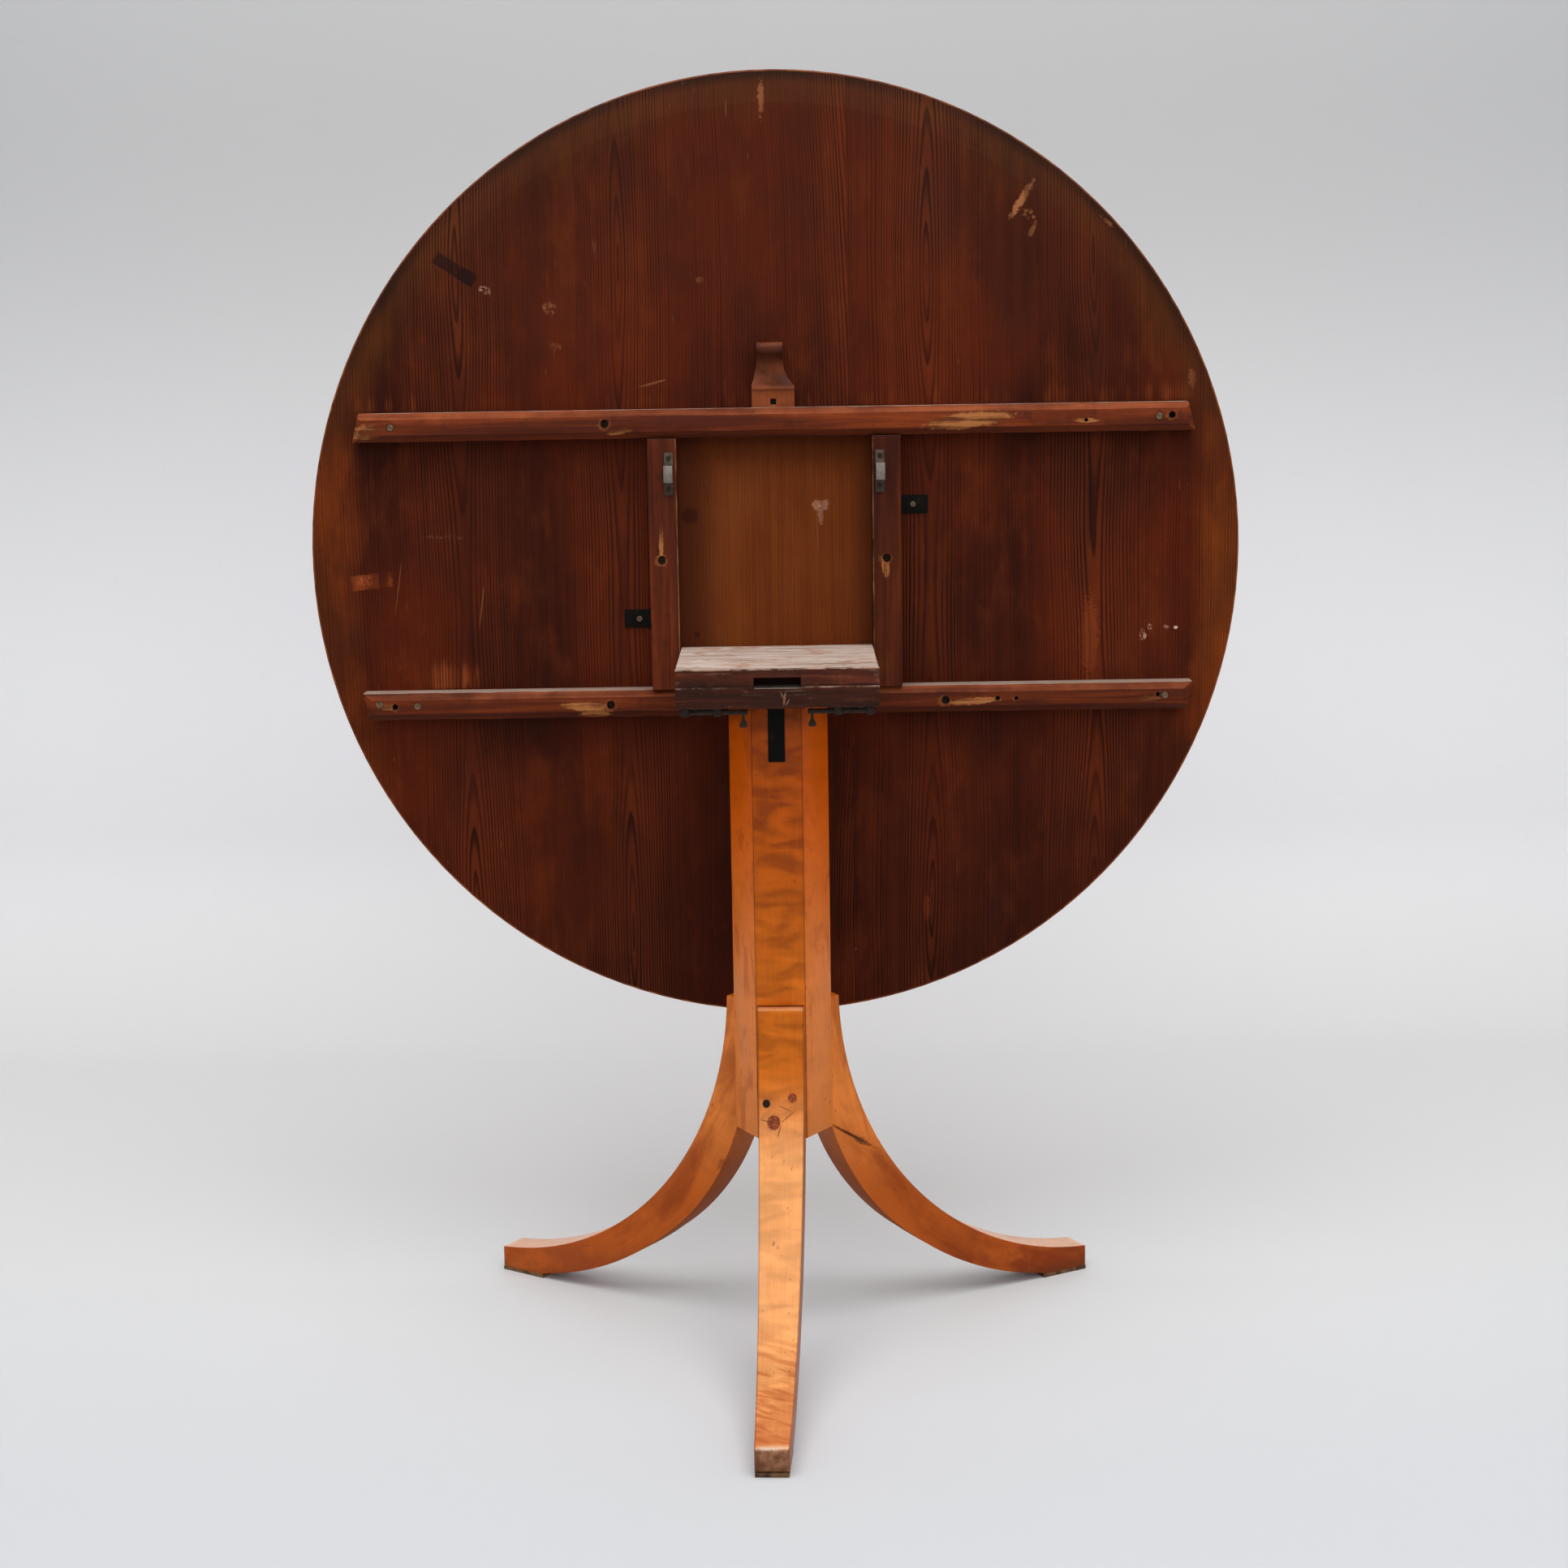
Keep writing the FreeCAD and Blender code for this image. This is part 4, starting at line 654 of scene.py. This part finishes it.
def free_copy(node, label):
    """A copy of a CAD node with its loose triangles joined into whole faces."""
    source = NODES[node]
    piece = bpy.data.objects.new(label, source.data.copy())
    piece.data.name = label
    bpy.context.collection.objects.link(piece)
    piece.data.materials.clear()
    pick(piece)
    bpy.ops.object.mode_set(mode="EDIT")
    bpy.ops.mesh.select_mode(type="VERT")
    bpy.ops.mesh.select_all(action="SELECT")
    bpy.ops.mesh.remove_doubles(threshold=0.00001)
    bpy.ops.mesh.customdata_custom_splitnormals_clear()
    bpy.ops.mesh.dissolve_limited(angle_limit=math.radians(0.5))
    bpy.ops.mesh.normals_make_consistent(inside=False)
    bpy.ops.object.mode_set(mode="OBJECT")
    return piece


def add_cuts(piece, axis, spacing):
    """Saw the mesh into short lengths so that its edges can be worn unevenly."""
    values = [vertex.co[axis] for vertex in piece.data.vertices]
    low, high = min(values), max(values)
    count = max(2, int((high - low) / spacing))
    normal = Vector((0, 0, 0))
    normal[axis] = 1.0
    pick(piece)
    bpy.ops.object.mode_set(mode="EDIT")
    for step in range(1, count):
        bpy.ops.mesh.select_all(action="SELECT")
        middle = Vector((0, 0, 0))
        middle[axis] = low + (high - low) * step / count
        bpy.ops.mesh.bisect(plane_co=middle, plane_no=normal)
    bpy.ops.object.mode_set(mode="OBJECT")


def apply(piece, modifier):
    pick(piece)
    bpy.ops.object.modifier_apply(modifier=modifier.name)


def round_edges(piece, radius, segments=2, angle=28.0):
    bevel = piece.modifiers.new("arris", "BEVEL")
    bevel.width = radius
    bevel.segments = segments
    bevel.limit_method = "ANGLE"
    bevel.angle_limit = math.radians(angle)
    bevel.use_clamp_overlap = True
    bevel.miter_outer = "MITER_ARC"
    apply(piece, bevel)


def round_toe(piece, radius):
    """Round over the edges of a leg's upright end face."""
    points = piece.data.vertices
    ends = [face for face in piece.data.polygons
            if abs(face.normal.z) < 0.2 and max(points[index].co.z for index in face.vertices) < 0.05]
    face = max(ends, key=lambda item: math.hypot(item.center.x, item.center.y))
    group = piece.vertex_groups.new(name="toe")
    group.add(list(face.vertices), 1.0, "REPLACE")
    bevel = piece.modifiers.new("toe", "BEVEL")
    bevel.width = radius
    bevel.segments = 4
    bevel.limit_method = "VGROUP"
    bevel.vertex_group = group.name
    apply(piece, bevel)
    piece.vertex_groups.clear()


def smooth_shading(piece, angle=32.0):
    pick(piece)
    bpy.ops.object.shade_smooth_by_angle(angle=math.radians(angle))


def edge_group(piece, angle=24.0, keep=None):
    """Weight the points that lie on bevelled edges, for wear to act on."""
    group = piece.vertex_groups.new(name="edges")
    mesh = piece.data
    sharpest = {}
    faces = {}
    for face in mesh.polygons:
        for key in face.edge_keys:
            faces.setdefault(key, []).append(face.normal)
    for key, normals in faces.items():
        if len(normals) == 2:
            bend = normals[0].angle(normals[1], 0.0)
            for point in key:
                sharpest[point] = max(sharpest.get(point, 0.0), bend)
    worn = [point for point, bend in sharpest.items()
            if bend > math.radians(angle) and (keep is None or keep(mesh.vertices[point].co))]
    group.add(worn, 1.0, "REPLACE")
    return group


def chip_edges(piece, group, depth, grain):
    """Push the edge points inwards by an uneven amount."""
    texture = bpy.data.textures.new(piece.name + "_chips", "CLOUDS")
    texture.noise_scale = grain
    texture.noise_depth = 2
    texture.contrast = 1.6
    wear = piece.modifiers.new("chips", "DISPLACE")
    wear.texture = texture
    wear.texture_coords = "LOCAL"
    wear.strength = depth
    wear.mid_level = 1.0
    wear.vertex_group = group.name
    apply(piece, wear)
    piece.vertex_groups.clear()


def settle(piece, node, material):
    """Give the piece its finish and its body, and hide the node that it stands for."""
    piece.data.materials.clear()
    piece.data.materials.append(material)
    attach(piece, BODIES[node])
    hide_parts(node)
    return piece


def keep_node(node, material):
    """A CAD node that is right as it is gets only its finish."""
    mesh = NODES[node].data
    mesh.materials.clear()
    mesh.materials.append(material)


def eased(node, label, radius, material, segments=2, angle=28.0, smooth=32.0):
    piece = free_copy(node, label)
    round_edges(piece, radius, segments, angle)
    smooth_shading(piece, smooth)
    return settle(piece, node, material)


# ---- operators -------------------------------------------------------------

def settings():
    return bpy.context.scene.tilt_table_sizes, bpy.context.scene.tilt_table_colours


class TILTTABLE_OT_stand(bpy.types.Operator):
    """Finish the six-sided column and its three curved legs"""
    bl_idname = "tilt_table.stand"
    bl_label = "Column and legs"

    def execute(self, context):
        sizes, colours = settings()
        eased("column", "column_wood", sizes.wood_arris, polished_birch("column_birch", colours))
        for node, turn in LEG_TURNS.items():
            finish = polished_birch("birch_" + node, colours, turn, 0.0 if turn < 0 else 0.6)
            piece = free_copy(node, node + "_wood")
            round_toe(piece, sizes.toe_arris)
            round_edges(piece, sizes.leg_arris, 3, 28.0)
            smooth_shading(piece, 34.0)
            settle(piece, node, finish)
        keep_node("leg_plugs", plug_wood())
        return {"FINISHED"}


class TILTTABLE_OT_feet(bpy.types.Operator):
    """Finish the worn soles under the feet"""
    bl_idname = "tilt_table.feet"
    bl_label = "Foot pads"

    def execute(self, context):
        sizes, _ = settings()
        sole = foot_wood()
        for side in ("front", "back_right", "back_left"):
            eased("foot_pad_" + side, "foot_sole_" + side, sizes.wood_arris * 0.6, sole)
        return {"FINISHED"}


class TILTTABLE_OT_block(bpy.types.Operator):
    """Finish the pivot block with chipped front edges"""
    bl_idname = "tilt_table.block"
    bl_label = "Pivot block"

    def execute(self, context):
        sizes, colours = settings()
        piece = free_copy("pivot_block", "pivot_block_worn")
        add_cuts(piece, 0, 0.0045)
        round_edges(piece, sizes.block_arris, 2, 28.0)
        group = edge_group(piece, 12.0, lambda co: co.y < -0.1 and (abs(co.x) > 0.026 or co.z > 0.7155))
        chip_edges(piece, group, sizes.chip_depth, 0.007)
        smooth_shading(piece, 30.0)
        settle(piece, "pivot_block", pivot_block_wood(colours))
        return {"FINISHED"}


class TILTTABLE_OT_bolts(bpy.types.Operator):
    """Finish the two sliding bolts, their plates and pulls"""
    bl_idname = "tilt_table.bolts"
    bl_label = "Sliding bolts"

    def execute(self, context):
        sizes, colours = settings()
        steel = old_steel("bolt_steel", paint(60, 45, 36), 0.45)
        for side in ("left", "right"):
            eased("bolt_plate_" + side, "bolt_guide_" + side, sizes.metal_arris, steel)
            eased("bolt_rod_" + side, "bolt_bar_" + side, sizes.metal_arris, steel)
            eased("bolt_knob_" + side, "bolt_pull_" + side, sizes.metal_arris, steel, 2, 40.0, 50.0)
            keep_node("pivot_pin_" + side, steel)
        return {"FINISHED"}


class TILTTABLE_OT_boards(bpy.types.Operator):
    """Finish the seven stained boards of the underside"""
    bl_idname = "tilt_table.boards"
    bl_label = "Underside boards"

    def execute(self, context):
        sizes, colours = settings()
        pale, knot, bar = paint(172, 128, 104), paint(52, 20, 12), paint(30, 12, 9)
        tan, orange, grey = paint(150, 92, 56), paint(134, 60, 24), paint(110, 74, 58)
        # middle (mm), half sizes (mm), turn, raggedness, strength, colour
        marks = {
            1: [((-436, 797), (21, 8), 6, 0.18, 0.68, orange),
                ((-441, 797), (10, 5), 6, 0.95, 0.4, paint(158, 78, 40))],
            2: [((-335, 1125), (24, 6.5), -33, 0.12, 0.8, bar), ((-322, 1117), (9, 7), -33, 0.15, 0.75, bar),
                ((-304, 1103), (7, 4), -33, 0.95, 0.4, pale),
                ((-352, 843), (24, 2.0), -2, 0.95, 0.3, grey), ((-318, 768), (0.6, 22), -8, 0.5, 0.4, tan),
                ((-407, 790), (0.6, 28), -9, 0.5, 0.3, tan), ((-436, 797), (21, 8), 6, 0.18, 0.68, orange)],
            3: [((-236, 1083), (7, 8), 0, 0.95, 0.35, tan), ((-231, 1043), (8, 4), -30, 0.95, 0.35, tan),
                ((-91.4, 862.5), (9, 8), 0, 0.4, 0.75, knot), ((-86.2, 734.1), (3, 3), 0, 0.3, 0.8, knot),
                ((-128, 1003), (14, 1.2), 14, 0.6, 0.45, tan)],
            4: [((-77.5, 1110), (6, 3), 0, 0.8, 0.4, tan), ((45, 871), (4.2, 5), 24, 0.85, 0.5, pale),
                ((53, 871), (4.2, 6), -28, 0.85, 0.5, pale), ((49, 861), (2.6, 10), 4, 0.85, 0.45, pale),
                ((45, 850), (0.7, 24), 2, 0.6, 0.3, tan), ((-8, 1296), (3, 18), 0, 0.9, 0.55, tan)],
            5: [((62, 399), (7, 14), 20, 0.95, 0.16, pale), ((71, 385), (9, 5), -25, 0.95, 0.2, pale),
                ((160, 430), (3, 16), 0, 0.9, 0.3, orange), ((140, 560), (9, 14), 0, 0.95, 0.22, orange)],
            6: [((266, 1190), (3.5, 20), -32, 0.9, 0.75, tan), ((259, 1180), (3, 15), -30, 0.9, 0.6, tan),
                ((272, 1172), (7, 5), -30, 0.95, 0.5, tan), ((276, 1156), (2.5, 9), -25, 0.9, 0.5, tan),
                ((396, 727), (3.4, 6), 0, 0.95, 0.5, pale), ((404, 734), (2.6, 4), 20, 0.95, 0.42, pale),
                ((421, 735), (3, 1.6), -20, 0.6, 0.4, pale),
                ((431, 734), (2.2, 1.6), 0, 0.4, 0.8, paint(206, 178, 160)),
                ((355, 1165), (8, 2), -40, 0.9, 0.5, tan), ((338, 868), (5, 36), 0, 0.8, 0.5, bar),
                ((337, 724), (10, 42), 0, 0.9, 0.4, orange), ((322, 900), (5, 22), 0, 0.9, 0.35, bar)],
            7: [((447, 1000), (4, 9), 0, 0.9, 0.4, tan)],
        }
        figures = {1: (-0.62, 0.8, 0.02, 5.0), 2: (-0.336, 1.12, 0.017, 4.5), 3: (-0.164, 1.13, 0.015, 4.3),
                   4: (0.10, 0.4, 0.03, 3.0), 5: (0.166, 1.14, 0.017, 4.4), 6: (0.343, 1.16, 0.016, 4.2),
                   7: (0.60, 0.9, 0.02, 5.0)}
        for number in range(1, 8):
            heart, apex, swing, rate = figures[number]
            finish = stained_pine("stained_board_%d" % number, colours, sizes, heart, apex, swing, rate,
                                  marks[number])
            keep_node("top_board_%d" % number, finish)
        return {"FINISHED"}


class TILTTABLE_OT_show_face(bpy.types.Operator):
    """Finish the veneered show face and its edge band"""
    bl_idname = "tilt_table.show_face"
    bl_label = "Show face"

    def execute(self, context):
        _, colours = settings()
        keep_node("top_veneer", birch_veneer("show_veneer", colours))
        keep_node("edge_band", birch_veneer("edge_veneer", colours, True))
        return {"FINISHED"}


class TILTTABLE_OT_battens(bpy.types.Operator):
    """Finish the four battens with worn edges, splits and screw holes darkened by painted shade"""
    bl_idname = "tilt_table.battens"
    bl_label = "Battens"

    def execute(self, context):
        sizes, colours = settings()
        # node, grain, front face (m), holes (x, z, radius in mm),
        # raw splits (middle and half sizes in mm, turn in degrees)
        rows = (
            ("batten_upper", "x", BATTEN_FACE,
             ((-178, 961.2, 3.7), (420.2, 961.5, 3.0), (329.5, 957.5, 1.6)),
             (((-432, 956), (21, 7.5), 6), ((205, 959), (44, 8), 6), ((330, 957), (12, 2.4), 0),
              ((-162, 953), (13, 3), 8))),
            ("batten_lower", "x", BATTEN_FACE,
             ((-179.0, 663.0, 3.7), (179.9, 662.9, 3.7), (-410.2, 664.3, 2.6), (235.6, 663.8, 2.0),
              (255.6, 663.5, 1.8), (407.3, 665.5, 2.0)),
             (((-200, 660), (20, 6.5), -6), ((-212, 662), (22, 3.5), -3), ((-196, 653), (16, 3), 0),
              ((210, 661), (26, 3.6), 4), ((398, 661), (14, 2.4), 0), ((-418, 664), (8, 3), 0))),
            ("batten_left", "z", SHORT_BATTEN_FACE, ((-120.6, 817, 3.7),),
             (((-121.5, 838), (2.6, 18), 0), ((-120.6, 817), (5, 6), 0))),
            ("batten_right", "z", SHORT_BATTEN_FACE, ((118.1, 815.9, 3.7),), (((117, 806), (4, 11), 5),)),
        )
        depths = {"batten_upper": 1.02, "batten_lower": 0.84, "batten_left": 0.82, "batten_right": 0.54}
        for node, along, front, holes, bare in rows:
            piece = free_copy(node, node + "_worn")
            axis = 0 if along == "x" else 2
            add_cuts(piece, axis, 0.0085)
            round_edges(piece, sizes.batten_arris, 2, 28.0)
            group = edge_group(piece, 9.0, lambda co, front=front: co.y < front + 0.0075)
            chip_edges(piece, group, sizes.chip_depth * 0.45, 0.02)
            smooth_shading(piece, 34.0)
            finish = batten_wood(node + "_wood", colours, along, front, holes, bare, along == "x",
                                 depths[node])
            settle(piece, node, finish)
        return {"FINISHED"}


class TILTTABLE_OT_catch(bpy.types.Operator):
    """Finish the sliding wooden catch"""
    bl_idname = "tilt_table.catch"
    bl_label = "Wooden catch"

    def execute(self, context):
        sizes, colours = settings()
        f = Finish("catch_wood")
        fibre = f.grain(f.place, (260.0, 260.0, 12.0), 3.0, 0.6)
        patch = f.noise(f.place, 50.0, 3.0, 0.6)
        tone = f.mix(f.smooth(patch, 0.3, 0.7), paint(70, 32, 17), paint(108, 52, 26))
        tongue = f.smooth(f.z, 1.0, 0.992)
        tone = f.mix(tongue * 0.7, tone, paint(140, 70, 34))
        # Painted shadow in the hollow under the lip.
        hollow = f.smooth(f.z, 1.018, 1.027) * f.smooth(f.z, 1.041, 1.034)
        tone = f.mix(hollow * 0.6, tone, paint(44, 22, 15))
        tone = f.shade(tone, fibre * 0.45 + 0.78)
        # Painted shade inside the small hole of the catch.
        peg_hole_shade = f.spot(f.x, f.z, (0, 981.6), (4.2, 4.2), 0, 0, 0.05) * f.smooth(f.y, 0.1088, 0.1105)
        tone = f.mix(peg_hole_shade, tone, paint(20, 10, 8))
        material = f.done(tone, 0.42 + patch * 0.15, f.bump(fibre, 0.0005, 0.6), Specular_IOR_Level=0.1)
        eased("catch_bolt", "catch_carved", sizes.wood_arris * 0.9, material, 3)
        return {"FINISHED"}


class TILTTABLE_OT_ironwork(bpy.types.Operator):
    """Finish the black strap and brackets and the steel keepers"""
    bl_idname = "tilt_table.ironwork"
    bl_label = "Ironwork"

    def execute(self, context):
        sizes, colours = settings()
        iron = black_iron(colours)
        steel = old_steel("keeper_steel", colours.steel, 0.0, KEEPER_FACE)
        eased("iron_strap", "column_strap", sizes.metal_arris, iron)
        for side in ("left", "right"):
            eased("bracket_" + side, "corner_bracket_" + side, sizes.metal_arris, iron)
            eased("keeper_" + side, "keeper_staple_" + side, sizes.metal_arris, steel)
        return {"FINISHED"}


class TILTTABLE_OT_screws(bpy.types.Operator):
    """Finish the slotted screws and the foot nails"""
    bl_idname = "tilt_table.screws"
    bl_label = "Screws and nails"

    def execute(self, context):
        _, colours = settings()
        dark = old_steel("dark_screw_steel", paint(58, 46, 38), 0.5)
        grey = old_steel("screw_steel", paint(110, 88, 66), 0.7)
        for node in ("batten_screws", "bracket_screws", "foot_nails"):
            keep_node(node, grey)
        for node in ("keeper_screws", "plate_screws", "leg_screws"):
            keep_node(node, dark)
        keep_node("strap_screws", black_iron(colours))
        return {"FINISHED"}


class TILTTABLE_OT_studio(bpy.types.Operator):
    """Set up the pale floor and backdrop with painted light and shade, the soft lights and the camera"""
    bl_idname = "tilt_table.studio"
    bl_label = "Studio"

    def execute(self, context):
        _, colours = settings()
        clear_selection()
        bpy.ops.mesh.primitive_plane_add(size=FLOOR_SIZE, location=(0.0, FLOOR_MIDDLE, 0.0))
        floor = bpy.context.object
        floor.name = "studio_floor"
        bpy.ops.object.mode_set(mode="EDIT")
        bpy.ops.mesh.select_mode(type="EDGE")
        bpy.ops.mesh.select_all(action="DESELECT")
        bpy.ops.object.mode_set(mode="OBJECT")
        for edge in floor.data.edges:
            ends = [floor.data.vertices[index].co.y for index in edge.vertices]
            edge.select = min(ends) > FLOOR_SIZE / 2 - 0.1
        bpy.ops.object.mode_set(mode="EDIT")
        bpy.ops.mesh.extrude_region_move(TRANSFORM_OT_translate={"value": (0.0, 0.0, WALL_HEIGHT)})
        bpy.ops.object.mode_set(mode="OBJECT")
        bpy.ops.object.transform_apply(location=True, rotation=False, scale=False)
        bend = floor.modifiers.new("cove", "BEVEL")
        bend.width = COVE_RADIUS
        bend.segments = 16
        bend.limit_method = "ANGLE"
        apply(floor, bend)
        smooth_shading(floor, 60.0)
        f = Finish("studio_paint")
        cloud = f.noise(f.place, 2.2, 4.0, 0.6)
        scuff = f.grain(f.place, (40.0, 40.0, 40.0), 4.0, 0.7)
        # Painted light on the stage: floor darker towards the front, backdrop lightest at the foot of the
        # cove and darker up the wall.
        tone = f.mix(f.smooth(f.y, 0.5, -0.6), colours.floor, paint(205, 206, 208))
        tone = f.mix(f.smooth(f.z, 0.0, 0.3), tone, paint(229, 229, 230))
        tone = f.mix(f.smooth(f.z, 0.45, 1.5), tone, paint(180, 180, 180))
        tone = f.shade(tone, cloud * 0.03 + 0.985)
        tone = f.shade(tone, 1.0 - f.smooth(scuff, 0.62, 0.8) * 0.03)
        # Painted light: the distant floor and wall emit light.
        far_glow = f.smooth((f.x * f.x + f.y * f.y).call("SQRT"), 2.8, 7.0) * 0.4
        material = f.done(tone, 0.62, None, Emission_Color=f.join(far_glow, far_glow, far_glow), Emission_Strength=1.0,
                          Specular_IOR_Level=0.25)
        behind = f.node("ShaderNodeNewGeometry", output="Backfacing")
        see_through = f.node("ShaderNodeBsdfTransparent")
        seen = f.node("ShaderNodeMixShader", None, (behind, Flow(f, f.shader.outputs[0]), see_through))
        f.tree.links.new(seen.socket, f.output.inputs[0])
        floor.data.materials.append(material)

        world = bpy.data.worlds.new("studio_world")
        world.use_nodes = True
        background = world.node_tree.nodes["Background"]
        background.inputs[0].default_value = (0.93, 0.96, 1.0, 1.0)
        background.inputs[1].default_value = 0.56
        context.scene.world = world

        def lamp(name, place, aim, width, depth, power, tone=(1.0, 1.0, 1.0)):
            data = bpy.data.lights.new(name, "AREA")
            data.shape = "RECTANGLE"
            data.size, data.size_y = width, depth
            data.energy = power
            data.color = tone
            item = bpy.data.objects.new(name, data)
            item.location = place
            item.rotation_euler = (Vector(aim) - Vector(place)).to_track_quat("-Z", "Y").to_euler()
            bpy.context.collection.objects.link(item)

        lamp("overhead_panel", (0.0, -0.9, 3.2), (0.0, 0.1, 0.3), 3.4, 2.6, 84.0)
        lamp("front_panel", (0.3, -4.2, 2.4), (0.0, 0.1, 0.6), 3.0, 2.0, 38.0)

        data = bpy.data.cameras.new("table_camera")
        data.sensor_width = SENSOR
        data.lens = CAMERA_LENS
        data.clip_end = 50.0
        camera = bpy.data.objects.new("table_camera", data)
        camera.matrix_world = (Matrix.Translation(CAMERA_PLACE)
                               @ Matrix.Rotation(math.pi / 2 - CAMERA_DIP, 4, "X")
                               @ Matrix.Rotation(CAMERA_ROLL, 4, "Z"))
        bpy.context.collection.objects.link(camera)
        context.scene.camera = camera
        context.scene.view_settings.view_transform = "Standard"
        return {"FINISHED"}


STEPS = (TILTTABLE_OT_studio, TILTTABLE_OT_stand, TILTTABLE_OT_feet, TILTTABLE_OT_block, TILTTABLE_OT_bolts,
         TILTTABLE_OT_boards, TILTTABLE_OT_show_face, TILTTABLE_OT_battens, TILTTABLE_OT_catch,
         TILTTABLE_OT_ironwork, TILTTABLE_OT_screws)


class TILTTABLE_PT_panel(bpy.types.Panel):
    """Sidebar list of the table's making steps"""
    bl_idname = "TILTTABLE_PT_panel"
    bl_label = "Tilt top table"
    bl_space_type = "VIEW_3D"
    bl_region_type = "UI"
    bl_category = "Tilt Table"

    def draw(self, context):
        for name in TableSizes.__annotations__:
            self.layout.prop(context.scene.tilt_table_sizes, name)
        for name in TableColours.__annotations__:
            self.layout.prop(context.scene.tilt_table_colours, name)
        for step in STEPS:
            self.layout.operator(step.bl_idname)


CLASSES = (TableSizes, TableColours) + STEPS + (TILTTABLE_PT_panel,)


def register():
    for item in CLASSES:
        bpy.utils.register_class(item)
    bpy.types.Scene.tilt_table_sizes = PointerProperty(type=TableSizes)
    bpy.types.Scene.tilt_table_colours = PointerProperty(type=TableColours)


def unregister():
    del bpy.types.Scene.tilt_table_colours
    del bpy.types.Scene.tilt_table_sizes
    for item in reversed(CLASSES):
        bpy.utils.unregister_class(item)


def main():
    register()
    for step in STEPS:
        group, name = step.bl_idname.split(".")
        getattr(getattr(bpy.ops, group), name)()


if __name__ == "__main__":
    main()
